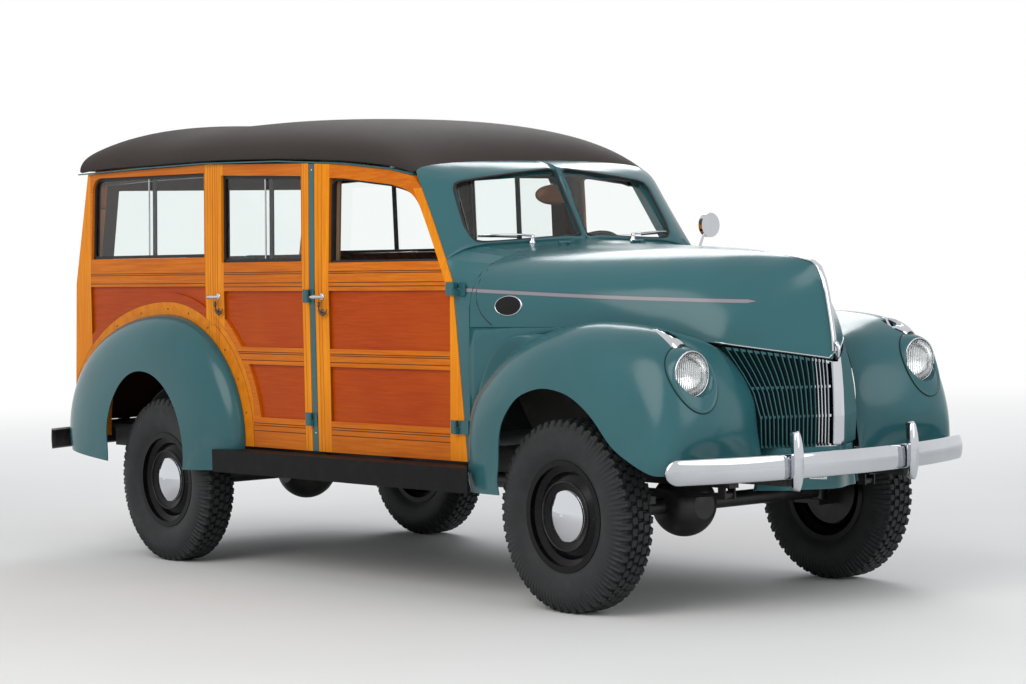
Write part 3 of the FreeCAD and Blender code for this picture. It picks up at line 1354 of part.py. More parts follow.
doc.recompute()
faults = [thing.Name for thing in doc.Objects if "Invalid" in thing.State or "Error" in thing.State]
faults += [name for name, thing in built.items() if thing.Shape.isNull() or not thing.Shape.isValid()]
if faults:
    raise RuntimeError("failed: " + ", ".join(faults))
for name, thing in built.items():
    thing.Shape.exportStep("parts/" + name + ".step")
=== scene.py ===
"""Looks of the station wagon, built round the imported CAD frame."""

import math

import bmesh
import bpy
from mathutils import Matrix, Vector
from mathutils.bvhtree import BVHTree


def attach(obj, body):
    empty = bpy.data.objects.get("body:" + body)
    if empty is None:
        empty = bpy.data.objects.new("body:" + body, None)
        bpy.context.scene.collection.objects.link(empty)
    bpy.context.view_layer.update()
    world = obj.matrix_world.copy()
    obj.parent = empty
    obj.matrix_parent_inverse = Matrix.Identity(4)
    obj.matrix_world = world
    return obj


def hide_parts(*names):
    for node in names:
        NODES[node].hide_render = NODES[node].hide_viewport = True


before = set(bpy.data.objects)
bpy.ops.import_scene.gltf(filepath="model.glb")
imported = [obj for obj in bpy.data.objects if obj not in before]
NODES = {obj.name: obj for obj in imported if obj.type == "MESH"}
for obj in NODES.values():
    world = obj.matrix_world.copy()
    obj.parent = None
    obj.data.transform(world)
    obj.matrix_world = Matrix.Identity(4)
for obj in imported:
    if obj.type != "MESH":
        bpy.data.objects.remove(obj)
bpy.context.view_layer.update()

MM = 0.001
SIDES = (("left", 1), ("right", -1))
# millimetres, here and in what follows: each axle's station and track, and the height of the hubs
AXLES = (("front", 1597.5, 1458), ("rear", -1247.5, 1484))
HUB = 380.0
# the belt's height, and the body's half-width at its foot
BELT, BODY_HALF, BODY_FOOT = 1300.0, 755, 560
# the seam ahead of the front door: its station at the lean's foot, and how it leans below and above the belt
LEAN_FOOT, SEAM_FOOT, SEAM_LEAN, PILLAR_LEAN = 700, 922, 0.127, 0.665
# the rear face, given the same way
REAR_FOOT, REAR_LEAN, GATE_LEAN = -2140, 0.06, 0.2075
# the rear fender's root oval: centre, reach ahead and behind, and rise
ARCH_X, ARCH_Z, ARCH_REACH, ARCH_TAIL, ARCH_RISE = -1274.5, 590.0, 620.0, 857.0, 560.0

TEAL = (0.027, 0.121, 0.137)
MAPLE, MAPLE_DEEP = (0.92, 0.33, 0.008), (0.71, 0.19, 0.004)
RAIL, RAIL_DEEP = (0.72, 0.20, 0.008), (0.50, 0.105, 0.004)
MAHOGANY, MAHOGANY_DEEP = (0.49, 0.070, 0.002), (0.36, 0.040, 0.001)
# colour of the dark lines in the wood: painted shade in the cut grooves and along the arch's step, and dark
# joints
GROOVE_SHADE_AND_JOINT_DARK = (0.055, 0.016, 0.004)
CANVAS = (0.036, 0.028, 0.025)
CHROME_GREY = (0.56, 0.58, 0.61)
# metres: where the belt stripe ends, its height there, the rear doors' rear edge and the belt rail's foot
STRIPE_END, STRIPE_LOW = 2.095, 1.202
DOOR_EDGE, RAIL_FOOT = -0.884, 1.262
# metres: the front door's forward upright (rear edge below the belt, width and top above it), and where the
# maple arch starts
STILE_EDGE, STILE_WIDTH, STILE_TOP, BAND_START = (0.8266, 0.8274), 0.052, (1.690, 1.692), -0.58


# ---------------------------------------------------------------- material graphs

def tinted(color, share):
    return tuple(c * share for c in color)


class Graph:
    """A material's node tree, with short calls for the nodes used here."""

    def __init__(self, name):
        self.material = bpy.data.materials.new(name)
        self.material.use_nodes = True
        self.tree = self.material.node_tree
        self.tree.nodes.clear()
        self.out = self.tree.nodes.new("ShaderNodeOutputMaterial")
        self.shader = self.tree.nodes.new("ShaderNodeBsdfPrincipled")
        self.tree.links.new(self.shader.outputs[0], self.out.inputs[0])
        self.where = self.node("TexCoord", {})["Object"]
        self.x, self.y, self.z = self.node("SeparateXYZ", {0: self.where})
        self.side = self.math("ABSOLUTE", self.y)

    def put(self, socket, value):
        if isinstance(value, bpy.types.NodeSocket):
            self.tree.links.new(value, socket)
        elif isinstance(value, (tuple, list)) and len(value) == 3 and len(socket.default_value) == 4:
            socket.default_value = (*value, 1.0)
        else:
            socket.default_value = value

    def node(self, kind, inputs, **settings):
        """Outputs of a new node, whose inputs take values or other nodes' outputs."""
        made = self.tree.nodes.new("ShaderNode" + kind)
        for key, value in settings.items():
            setattr(made, key, value)
        for key, value in inputs.items():
            self.put(made.inputs[key], value)
        return made.outputs

    def math(self, operation, *values):
        return self.node("Math", dict(enumerate(values)), operation=operation)[0]

    def add(self, a, b):
        return self.math("ADD", a, b)

    def sub(self, a, b):
        return self.math("SUBTRACT", a, b)

    def mul(self, a, b):
        return self.math("MULTIPLY", a, b)

    def most(self, first, *others):
        for other in others:
            first = self.math("MAXIMUM", first, other)
        return first

    def flip(self, a):
        return self.sub(1.0, a)

    def ramp(self, value, low, high, start=0.0, end=1.0, smooth=True):
        inputs = {"Value": value, "From Min": low, "From Max": high, "To Min": start, "To Max": end}
        return self.node("MapRange", inputs,
                         interpolation_type="SMOOTHSTEP" if smooth else "LINEAR")["Result"]

    def fall(self, value, low, high):
        """1 below the low value, 0 above the high one."""
        return self.ramp(value, low, high, 1.0, 0.0)

    def between(self, value, low, high, soft=0.0006):
        rise = self.ramp(value, low - soft, low + soft)
        return self.mul(rise, self.fall(value, high - soft, high + soft))

    def line(self, value, at, half, soft=0.0006):
        """1 where the value lies within half of a place."""
        away = self.math("ABSOLUTE", self.sub(value, at))
        return self.fall(away, half, half + soft)

    def block(self, x0, x1, z0, z1):
        return self.mul(self.between(self.x, x0 * MM, x1 * MM), self.between(self.z, z0 * MM, z1 * MM))

    def mix(self, share, a, b):
        return self.node("Mix", {0: share, 6: a, 7: b}, data_type="RGBA")[2]

    def stretched(self, *scale):
        return self.node("VectorMath", {0: self.where, 1: scale}, operation="MULTIPLY")[0]

    def noise(self, scale, detail=4.0, rough=0.55, vector=None, distort=0.0):
        inputs = {"Vector": vector or self.where, "Scale": scale, "Detail": detail, "Roughness": rough,
                  "Distortion": distort}
        return self.node("TexNoise", inputs)[0]

    def wave(self, scale, direction):
        return self.node("TexWave", {"Vector": self.where, "Scale": scale}, bands_direction=direction)["Fac"]

    def bump(self, height, strength=0.3, distance=0.001):
        inputs = {"Strength": strength, "Distance": distance, "Height": height}
        self.put(self.shader.inputs["Normal"], self.node("Bump", inputs)[0])

    def finish(self, **values):
        names = {"color": "Base Color", "rough": "Roughness", "metal": "Metallic", "coat": "Coat Weight",
                 "coat_rough": "Coat Roughness", "transmission": "Transmission Weight", "ior": "IOR",
                 "specular": "Specular IOR Level"}
        for key, value in values.items():
            self.put(self.shader.inputs[names[key]], value)
        return self.material


def grain(graph, along, fine=1.0):
    """Straight wood grain along one axis: a colour share and a bump height."""
    scale = {"x": (1.1, 34.0, 34.0), "y": (34.0, 1.1, 34.0), "z": (34.0, 34.0, 1.1)}[along]
    vector = graph.stretched(*(s * fine for s in scale))
    streaks = graph.noise(2.6, 5.0, 0.62, vector, 0.35)
    fibres = graph.noise(14.0, 3.0, 0.6, vector)
    tone = graph.noise(1.3, 2.0, 0.5)
    share = graph.add(graph.mul(streaks, 0.72), graph.mul(fibres, 0.18))
    share = graph.add(share, graph.mul(tone, 0.35))
    return graph.ramp(share, 0.36, 0.86), fibres


def seam_station(graph):
    """Station of the seam ahead of the front door, from the height."""
    low = graph.math("MINIMUM", graph.z, BELT * MM)
    over = graph.math("MAXIMUM", graph.sub(graph.z, BELT * MM), 0.0)
    x = graph.sub(SEAM_FOOT * MM, graph.mul(graph.sub(low, LEAN_FOOT * MM), SEAM_LEAN))
    return graph.sub(x, graph.mul(over, PILLAR_LEAN))


def arch_ring(graph, margin):
    """Above 1 outside the rear fender's root oval grown by the margin."""
    across = graph.sub(graph.x, ARCH_X * MM)
    ahead = graph.math("MAXIMUM", across, 0.0)
    behind = graph.math("MINIMUM", across, 0.0)
    u = graph.add(graph.math("DIVIDE", ahead, graph.mul(graph.add(margin, ARCH_REACH), MM)),
                  graph.math("DIVIDE", behind, graph.mul(graph.add(margin, ARCH_TAIL), MM)))
    w = graph.math("DIVIDE", graph.sub(graph.z, ARCH_Z * MM),
                   graph.mul(graph.add(margin, ARCH_RISE), MM))
    return graph.math("SQRT", graph.add(graph.mul(u, u), graph.mul(w, w)))


def varnish(graph, color, height, rough=0.30):
    graph.bump(height, 0.35, 0.0016)
    return graph.finish(color=color, rough=rough, specular=0.11)


def framed(g, along, upright):
    """Maple rails and uprights, each with its grain along it: the colour and both bump heights."""
    level_share, level_fibre = grain(g, along)
    up_share, up_fibre = grain(g, "z")
    color = g.mix(upright, g.mix(level_share, RAIL, RAIL_DEEP), g.mix(up_share, MAPLE, MAPLE_DEEP))
    return color, level_fibre, up_fibre


def grooved(g, color, dark, *fibres):
    """Varnished wood with dark sunken lines: painted shade in the grooves and at the arch's step, and dark
    joints.
    """
    color = g.mix(g.mul(dark, 0.86), color, GROOVE_SHADE_AND_JOINT_DARK)
    height = g.add(g.mul(g.flip(dark), 1.0), g.mul(g.add(*fibres), 0.04))
    return varnish(g, color, height)


# x0, x1, z0, z1 of each inset panel on the body's side
PANELS = (
    (14.5, 827, 695, 932), (14.5, 827, 1010, 1262),
    (-795.5, -178.5, 695, 932), (-795.5, -178.5, 1010, 1262),
    (-1968, -949.5, 880, 1284),
)
# x0, x1 of each upright on the body's side
STILES = ((-90, 14.5), (-178.5, -125), (-882.5, -795.5), (-949.5, -885), (-2160, -1968))
# heights of the lines cut along the rails, darkened with painted shade
GROOVES = (1346, 1338, 1298, 1281, 988, 980, 951, 668, 658, 634)
# x of the lines cut along the uprights, darkened with painted shade
REEDS = (-36, -58, -160, -846, -864, -905, -925)


def side_wood():
    """Maple frame with red-brown panels, dark joints, and painted shade in the cut lines and along the arch's
    step: everything is placed by station and height.
    """
    g = Graph("side_wood")
    seam = seam_station(g)
    lower_stile = g.mul(g.ramp(g.x, *STILE_EDGE), g.fall(g.z, RAIL_FOOT, RAIL_FOOT + 0.001))
    upper_stile = g.ramp(g.add(g.x, g.sub(STILE_WIDTH, seam)), -0.0004, 0.0004)
    upper_stile = g.mul(upper_stile, g.ramp(g.z, RAIL_FOOT, RAIL_FOOT + 0.001))
    upper_stile = g.mul(upper_stile, g.fall(g.z, *STILE_TOP))
    uprights = [g.between(g.x, a * MM, b * MM, 0.0004) for a, b in STILES]
    upright = g.most(*uprights, lower_stile, upper_stile)
    ring = arch_ring(g, g.ramp(g.x, DOOR_EDGE, DOOR_EDGE + 0.001, 62.0, 105.0))
    band = g.mul(g.fall(ring, 0.9995, 1.0005), g.ramp(g.x, BAND_START, BAND_START - 0.001))
    color, *fibres = framed(g, "x", upright)
    bent = g.mix(g.noise(9.0, 4.0, 0.6, g.stretched(2.0, 8.0, 2.0)), MAPLE, RAIL_DEEP)
    color = g.mix(band, color, bent)
    panel_share = grain(g, "x", 1.6)[0]
    panel = g.mix(panel_share, MAHOGANY, MAHOGANY_DEEP)
    inside = g.most(*[g.block(*edges) for edges in PANELS])
    door_edge = arch_ring(g, 141)
    outside = g.mul(g.ramp(ring, 0.9995, 1.0005),
                    g.most(g.ramp(door_edge, 0.9995, 1.0005), g.ramp(g.x, DOOR_EDGE, DOOR_EDGE - 0.002)))
    inside = g.mul(inside, outside)
    color = g.mix(inside, color, panel)
    level_area = g.mul(g.flip(upright), g.mul(g.flip(band), g.flip(inside)))
    # the lines cut along the rails and uprights are darkened: painted shade in the grooves
    groove_shade = g.mul(g.most(*[g.line(g.z, z * MM, 0.0014, 0.0012) for z in GROOVES]), level_area)
    groove_shade = g.mul(groove_shade, g.ramp(g.side, 0.60, 0.61))
    reed_shade = g.most(*[g.line(g.x, x * MM, 0.0010, 0.0010) for x in REEDS])
    joints = g.most(*[g.line(g.x, x * MM, 0.0006, 0.0006) for pair in STILES for x in pair[:2]])
    joints = g.mul(joints, g.flip(band))
    # a dark line round the arch band's edge: painted shadow of its step
    edge = g.mul(g.line(ring, 1.0, 0.0010, 0.0010), g.ramp(g.x, BAND_START, BAND_START - 0.001))
    dark = g.most(groove_shade, g.mul(reed_shade, 0.75), g.mul(joints, 0.6), g.mul(edge, 0.7))
    shade = g.noise(2.2, 3.0, 0.5)
    color = g.mix(g.mul(g.ramp(shade, 0.45, 0.75), 0.22), color, RAIL_DEEP)
    return grooved(g, color, dark, *fibres)


def tail_wood():
    """The gates at the back: rails, uprights and inset panels placed across the car and by height, with dark
    joints and painted shade in the lines cut along the rails.
    """
    g = Graph("tail_wood")
    uprights = g.most(g.between(g.side, 0.577, 0.70, 0.0004),
                      g.mul(g.fall(g.side, 0.0398, 0.0402), g.fall(g.z, 1.294, 1.295)))
    color, *fibres = framed(g, "y", uprights)
    panel_share = grain(g, "y", 1.6)[0]
    inside = g.mul(g.between(g.side, 0.040, 0.577),
                   g.most(g.between(g.z, 0.700, 0.940), g.between(g.z, 1.0, 1.230)))
    color = g.mix(inside, color, g.mix(panel_share, MAHOGANY, MAHOGANY_DEEP))
    # the lines cut along the rails are darkened: painted shade in the grooves
    lines = [g.line(g.z, z * MM, 0.0014, 0.0012)
             for z in (668, 656, 960, 972, 984, 1250, 1262, 1276, 1330, 1342)]
    groove_shade = g.mul(g.most(*lines), g.flip(g.most(uprights, inside)))
    joints = g.most(g.line(g.side, 0.577, 0.0006),
                    g.mul(g.line(g.side, 0.040, 0.0006), g.fall(g.z, 1.294, 1.295)))
    dark = g.most(groove_shade, g.mul(joints, 0.6))
    return grooved(g, color, dark, *fibres)


def plain_wood(name, along, light=RAIL, deep=RAIL_DEEP):
    g = Graph(name)
    share, fibre = grain(g, along)
    return varnish(g, g.mix(share, light, deep), g.mul(fibre, 0.1))


def paint(name, color, rough=0.20, stripe=False):
    """Satin-gloss enamel: a soft mottle, a trace of orange peel and dust low down."""
    g = Graph(name)
    mottle = g.noise(1.7, 3.0, 0.55)
    deep = tinted(color, 0.86)
    tone = g.mix(g.ramp(mottle, 0.35, 0.7), color, deep)
    dust = g.mul(g.fall(g.z, 0.44, 0.75), g.ramp(g.noise(9.0, 4.0), 0.4, 0.8))
    tone = g.mix(g.mul(dust, 0.10), tone, (0.30, 0.28, 0.25))
    peel = g.noise(420.0, 1.0, 0.4)
    height = g.mul(peel, 0.04)
    if stripe:
        centre = g.ramp(g.x, 0.860, STRIPE_END, 1.266, STRIPE_LOW, False)
        half = g.ramp(g.x, STRIPE_END - 0.030, STRIPE_END, 0.0085, 0.0, False)
        away = g.math("ABSOLUTE", g.sub(g.z, centre))
        band = g.mul(g.fall(g.sub(away, half), -0.0006, 0.0006), g.fall(g.x, STRIPE_END - 0.002, STRIPE_END))
        # a darker teal outline round the stripe: painted shade along its raised edges
        rim = g.mul(g.line(away, half, 0.0016, 0.0010), g.fall(g.x, STRIPE_END - 0.002, STRIPE_END + 0.001))
        tone = g.mix(band, tone, (0.245, 0.235, 0.262))
        tone = g.mix(g.mul(rim, 0.75), tone, (0.035, 0.075, 0.085))
        height = g.add(height, g.mul(band, 0.8))
    g.bump(height, 0.12, 0.0008)
    return g.finish(color=tone, rough=rough, specular=0.33 if color == TEAL else 0.2)


def worn_metal(name, color, rough=0.45, metal=0.0):
    g = Graph(name)
    tone = g.mix(g.noise(6.0, 5.0, 0.6), color, tinted(color, 0.55))
    dust = g.mul(g.ramp(g.noise(11.0, 4.0), 0.45, 0.8), 0.22)
    tone = g.mix(dust, tone, (0.16, 0.14, 0.12))
    g.bump(g.noise(160.0, 2.0), 0.12, 0.0008)
    return g.finish(color=tone, rough=rough, metal=metal, specular=0.45)


def chrome(name, color=CHROME_GREY, rough=0.045):
    g = Graph(name)
    tone = g.mix(g.ramp(g.noise(3.0, 4.0), 0.4, 0.75), color, tinted(color, 0.90))
    haze = g.ramp(g.noise(14.0, 5.0), 0.35, 0.8, rough, rough + 0.06, False)
    g.bump(g.noise(55.0, 1.0), 0.02, 0.0006)
    return g.finish(color=tone, rough=haze, metal=1.0)


def glass(name, tint=(0.93, 0.97, 0.96), rough=0.0, ribs=0.0):
    g = Graph(name)
    smear = g.ramp(g.noise(5.0, 4.0, 0.6), 0.4, 0.9, rough, rough + 0.03, False)
    tone = g.mix(g.noise(2.0, 2.0), tint, tinted(tint, 0.97))
    if ribs:
        g.bump(g.wave(ribs, "Y"), 0.55, 0.0022)
    return g.finish(color=tone, rough=smear, transmission=1.0, ior=1.25 if not ribs else 1.45, specular=0.5)


def canvas():
    """Coated woven roof cloth."""
    g = Graph("roof_canvas")
    weave = g.mul(g.wave(230.0, "X"), g.wave(230.0, "Y"))
    fade = g.ramp(g.noise(1.1, 5.0, 0.6), 0.35, 0.75)
    tone = g.mix(fade, CANVAS, tinted(CANVAS, 1.22))
    tone = g.mix(g.mul(g.ramp(g.noise(60.0, 3.0), 0.45, 0.7), 0.25), tone, tinted(CANVAS, 0.7))
    g.bump(g.add(g.mul(weave, 0.5), g.mul(g.noise(90.0, 3.0), 0.5)), 0.35, 0.0012)
    return g.finish(color=tone, rough=0.66, specular=0.14)


def rubber(name, color=(0.018, 0.019, 0.021), rough=0.62, ribs=0.0, specular=0.3):
    g = Graph(name)
    dust = g.mul(g.ramp(g.noise(18.0, 5.0, 0.65), 0.42, 0.8), 0.35)
    tone = g.mix(dust, color, tinted(color, 2.6))
    height = g.mul(g.noise(240.0, 3.0), 0.15)
    if ribs:
        height = g.add(height, g.wave(ribs, "Y"))
    g.bump(height, 0.4, 0.0016)
    return g.finish(color=tone, rough=rough, specular=specular)


def leather():
    g = Graph("seat_hide")
    pores = g.noise(310.0, 4.0, 0.6)
    creases = g.noise(26.0, 5.0, 0.6, None, 0.8)
    tone = g.mix(g.ramp(creases, 0.35, 0.7), (0.115, 0.048, 0.031), (0.062, 0.026, 0.017))
    channel = g.wave(3.35, "Y")
    # dark lines where the pleats dip: painted shade in the creases
    crease_shade = g.fall(channel, 0.0, 0.07)
    tone = g.mix(g.mul(crease_shade, 0.7), tone, (0.030, 0.012, 0.008))
    height = g.add(g.mul(pores, 0.08), g.math("POWER", channel, 0.35))
    g.bump(height, 0.5, 0.006)
    return g.finish(color=tone, rough=0.42, specular=0.4, coat=0.1, coat_rough=0.3)


def wheel_finish():
    """Black enamel outside the domed cap, which is bright."""
    made = {}
    for end, axle, _ in AXLES:
        g = Graph("wheel_" + end)
        dx, dz = g.sub(g.x, axle * MM), g.sub(g.z, HUB * MM)
        radius = g.math("SQRT", g.add(g.mul(dx, dx), g.mul(dz, dz)))
        cap = g.mul(g.fall(radius, 0.1004, 0.1012), g.ramp(g.side, 0.735, 0.737))
        dust = g.mul(g.ramp(g.noise(22.0, 4.0), 0.45, 0.8), 0.08)
        tone = g.mix(dust, (0.004, 0.004, 0.005), (0.06, 0.056, 0.052))
        tone = g.mix(cap, tone, (0.62, 0.64, 0.67))
        g.bump(g.noise(120.0, 2.0), 0.03, 0.0006)
        made[end] = g.finish(color=tone, rough=g.ramp(cap, 0.0, 1.0, 0.20, 0.05, False), metal=cap,
                             specular=0.16)
    return made


def grille_finish():
    """Bright bars at the middle and painted bars to each side."""
    g = Graph("grille_bars")
    middle = g.fall(g.side, 0.0745, 0.0755)
    tone = g.mix(g.noise(3.0, 3.0), TEAL, tinted(TEAL, 0.85))
    tone = g.mix(middle, tone, (0.60, 0.62, 0.65))
    g.bump(g.noise(300.0, 1.0), 0.03, 0.0006)
    return g.finish(color=tone, rough=g.ramp(middle, 0.0, 1.0, 0.24, 0.07, False), metal=middle,
                    specular=0.42)


STEEL = paint("steel_paint", TEAL)
BODY_STEEL = paint("hood_paint", TEAL, stripe=True)
SIDE_WOOD, TAIL_WOOD = side_wood(), tail_wood()
WOOD_Y = plain_wood("maple_across", "y")
FRAME_BLACK = worn_metal("frame_black", (0.016, 0.016, 0.017), 0.38)
RAW_STEEL = worn_metal("cast_metal", (0.07, 0.07, 0.072), 0.5, 0.6)
CHROME = chrome("bright_metal")
PLATED = chrome("plated_edge", (0.55, 0.56, 0.57), 0.10)
PANE = glass("window_pane")
LENS = glass("lamp_lens", (0.97, 0.98, 0.98), 0.02, 34.0)
AMBER = glass("amber_lens", (0.85, 0.30, 0.03), 0.04, 90.0)
ROOF = canvas()
TYRE = rubber("tyre_rubber", (0.016, 0.017, 0.018), 0.58)
TRIM = rubber("window_rubber", (0.012, 0.012, 0.013), 0.5)
BOARD = rubber("board_rubber", (0.009, 0.009, 0.010), 0.5, 62.0, 0.08)
HIDE = leather()
WHEELS = wheel_finish()
GRILLE = grille_finish()
DARK = worn_metal("inner_dark", (0.020, 0.018, 0.017), 0.7)
HEADLINER = worn_metal("headlining", (0.15, 0.13, 0.11), 0.85)
FLOOR_STEEL = worn_metal("floor_paint", (0.035, 0.045, 0.046), 0.6)
HARD_BLACK = paint("hard_black", (0.006, 0.006, 0.006), 0.22)
# a far darker copy of the wood for the faces inside the cabin: painted shade of the cabin
SHADED_INNER_WOOD = plain_wood("shaded_lining_wood", "x", (0.075, 0.030, 0.014), (0.045, 0.018, 0.009))
GUIDE = plain_wood("guide_wood", "z", (0.20, 0.12, 0.07), (0.12, 0.07, 0.04))
# a much darker copy of the teal paint: painted shade on the grille bars' sides and in the seam round each
# headlamp bezel
PAINTED_SHADE_TEAL = paint("painted_shade_teal", (0.006, 0.016, 0.018), 0.4)
REFLECTOR = chrome("reflector", (0.84, 0.85, 0.86), 0.12)
BRONZE = worn_metal("handle_bronze", (0.16, 0.12, 0.09), 0.3, 0.8)


def dress(nodes, *materials, pick=None):
    """Gives CAD nodes their finishes; pick(centre, normal), in metres, names each face's slot."""
    for node in nodes.split():
        data = NODES[node].data
        data.materials.clear()
        for material in materials:
            data.materials.append(material)
        if pick:
            for face in data.polygons:
                face.material_index = pick(face.center, face.normal)


def side_half(x, z):
    """Half-width of the body's outer face, in mm."""
    ahead = max(0.0, (x + 85) / 1005)
    behind = max(0.0, (-885 - x) / 1240)
    low = BODY_HALF - 15 * ahead - 4 * behind
    belt = BODY_HALF - 36 * ahead - 4 * behind
    top = BODY_HALF - 13 - 145 * ahead - 8 * behind
    if z < BELT:
        return low + (belt - low) * max(0.0, z - BODY_FOOT) / (BELT - BODY_FOOT)
    return belt + (top - belt) * (z - BELT) / 545


def seam(z):
    return SEAM_FOOT - (min(z, BELT) - LEAN_FOOT) * SEAM_LEAN - max(0.0, z - BELT) * PILLAR_LEAN


def rear_face(z):
    return REAR_FOOT + (min(z, BELT) - LEAN_FOOT) * REAR_LEAN + max(0.0, z - BELT) * GATE_LEAN


# (x, z) along the roof's edge over the side windows
EAVE = ((-2062, 1848), (-1522.5, 1858), (-947, 1862), (-347, 1850), (108, 1824), (375, 1794), (515, 1764))


def interpolate(points, x, slope=0.0):
    """Height at x of a chain of points, which goes on at the slope past its end."""
    for (x0, z0), (x1, z1) in zip(points, points[1:]):
        if x <= x1:
            return z0 + (z1 - z0) * (x - x0) / (x1 - x0)
    return points[-1][1] + slope * (x - points[-1][0])


def eave(x):
    return interpolate(EAVE, x, -0.3)


def proud(centre, normal):
    """1 for a hinge strap that stands off the side, 2 for what faces into the cabin, which takes the dark
    copy of the wood as painted shade, else 0.
    """
    x, y, z = (c * 1000 for c in centre)
    if normal.y * y < -0.5 * abs(y) and abs(y) < side_half(x, z) - 20:
        return 2
    return int(abs(y) > side_half(x, z) + 1.0)


def under(centre, normal):
    """1 for the inside of a fender over the wheel."""
    nose, inner = 2.02, 0.62
    inwards = normal.y * math.copysign(1.0, centre.y)
    if centre.x > nose or abs(centre.y) < inner:
        return 0
    return int(normal.z < -0.5 or (inwards < -0.4 and normal.z < 0.25))


# slot 0, the dark copy of the wood as painted shade, for the posts' other faces; 1 for the teal strip between
# the doors; 2 for the black sill
def post_finish(centre, normal):
    x, y, z = (c * 1000 for c in centre)
    if z < 616:
        return 2
    return int(-127 < x < -84 and abs(y) > side_half(x, z) - 30)


# 2, the dark copy of the wood as painted shade, for faces into the cabin; 1 for what lies behind the rear
# face; else 0
def gate_finish(centre, normal):
    x, y, z = (c * 1000 for c in centre)
    return 2 if normal.x > 0.5 and x > rear_face(z) + 20 else int(x < rear_face(z) - 1.5)


# faces into the cabin take the dark copy of the wood: painted shade
dress("door_front_left door_front_right door_rear_left door_rear_right", SIDE_WOOD, STEEL, SHADED_INNER_WOOD,
      pick=proud)
dress("quarter_panels", SIDE_WOOD, STEEL, SHADED_INNER_WOOD,
      pick=lambda centre, normal: proud(centre, normal) // 2 * 2)
dress("tailgate liftgate", TAIL_WOOD, STEEL, SHADED_INNER_WOOD, pick=gate_finish)
dress("body_posts", SHADED_INNER_WOOD, STEEL, FRAME_BLACK, pick=post_finish)
dress("rear_header", WOOD_Y)
dress("cowl", BODY_STEEL)
dress("hood", BODY_STEEL, FLOOR_STEEL,
      pick=lambda centre, normal: int(normal.z < -0.2 or normal.y * centre.y < -0.3 * abs(centre.y)))
dress("front_fenders rear_fenders", STEEL, DARK, pick=under)
# the bars' sides and backs take the darker teal: painted shade between the bars
dress("grille", GRILLE, PAINTED_SHADE_TEAL,
      pick=lambda centre, normal: int(normal.x < 0.55 and abs(centre.y) > 0.028))
dress("roof", ROOF, HEADLINER, pick=lambda centre, normal: int(normal.z < -0.25 and centre.z > 1.76))
dress("front_apron drip_rail door_hinges", STEEL)
dress("inner_fenders", DARK)
dress("front_bumper side_mirror", CHROME)
dress("rear_bumper steering_wheel", HARD_BLACK)
dress("running_board_left running_board_right", BOARD)
dress("door_glass_left door_glass_right quarter_glass liftgate_glass windshield_glass", PANE)
dress("chassis_frame leaf_springs rear_axle front_axle driveline fuel_tank rear_sill radiator", FRAME_BLACK)
dress("knuckle_left knuckle_right", FRAME_BLACK)
for end, _, _ in AXLES:
    dress("wheel_%s_left wheel_%s_right" % (end, end), WHEELS[end])
dress("exhaust", RAW_STEEL)
dress("engine_block", worn_metal("engine_paint", (0.05, 0.07, 0.06), 0.5))
dress("floor", FLOOR_STEEL)
dress("dashboard", paint("dash_paint", (0.050, 0.085, 0.090), 0.3))


# ---------------------------------------------------------------- pieces

def place(name, data):
    """A new object in the scene."""
    made = bpy.data.objects.new(name, data)
    bpy.context.scene.collection.objects.link(made)
    return made


def piece(name, points, faces, material, body="body", slot=None, smooth=True, bevel=0.0, subdivide=0):
    """A mesh piece from points in mm."""
    data = bpy.data.meshes.new(name)
    data.from_pydata([Vector(p) * MM for p in points], [], faces)
    data.validate()
    data.update()
    made = place(name, data)
    work = bmesh.new()
    work.from_mesh(data)
    bmesh.ops.recalc_face_normals(work, faces=work.faces)
    work.to_mesh(data)
    work.free()
    data.materials.append(material)
    for face in data.polygons:
        face.use_smooth = smooth
    if bevel:
        cut = made.modifiers.new("bevel", "BEVEL")
        cut.width, cut.segments, cut.limit_method = bevel * MM, 2, "ANGLE"
        cut.harden_normals = False
    if subdivide:
        made.modifiers.new("subdivide", "SUBSURF").levels = subdivide
        made.modifiers["subdivide"].render_levels = subdivide
    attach(made, body)
    return made


def weld(made):
    """Joins the points that meet, and turns every face outwards."""
    work = bmesh.new()
    work.from_mesh(made.data)
    bmesh.ops.remove_doubles(work, verts=work.verts, dist=1e-6)
    bmesh.ops.recalc_face_normals(work, faces=work.faces)
    work.to_mesh(made.data)
    work.free()
    return made


def grid(rows, closed=False, capped=False):
    """Points and quads through rows of points; closed joins each row's ends."""
    count = len(rows[0])
    points = [p for row in rows for p in row]
    faces = []
    for start in range(0, len(points) - count, count):
        for j in range(count if closed else count - 1):
            k = (j + 1) % count
            faces.append((start + j, start + k, start + count + k, start + count + j))
    if capped:
        faces.append(tuple(range(count))[::-1])
        faces.append(tuple(range(len(points) - count, len(points))))
    return points, faces


def sweep(name, path, radius, material, body="body", slot=None, sides=10, up=(0, 0, 1)):
    """A round rod along points in mm; radius may be one number or one per point."""
    rows = []
    radii = radius if isinstance(radius, (list, tuple)) else [radius] * len(path)
    path = [Vector(p) for p in path]
    for i, point in enumerate(path):
        ahead = path[min(i + 1, len(path) - 1)] - path[max(i - 1, 0)]
        ahead.normalize()
        across = ahead.cross(Vector(up))
        if across.length < 1e-4:
            across = ahead.cross(Vector((1, 0, 0)))
        across.normalize()
        rise = across.cross(ahead)
        rows.append([point + across * math.cos(a) * radii[i] + rise * math.sin(a) * radii[i]
                     for a in angles(sides)])
    return piece(name, *grid(rows, closed=True, capped=True), material, body, slot)


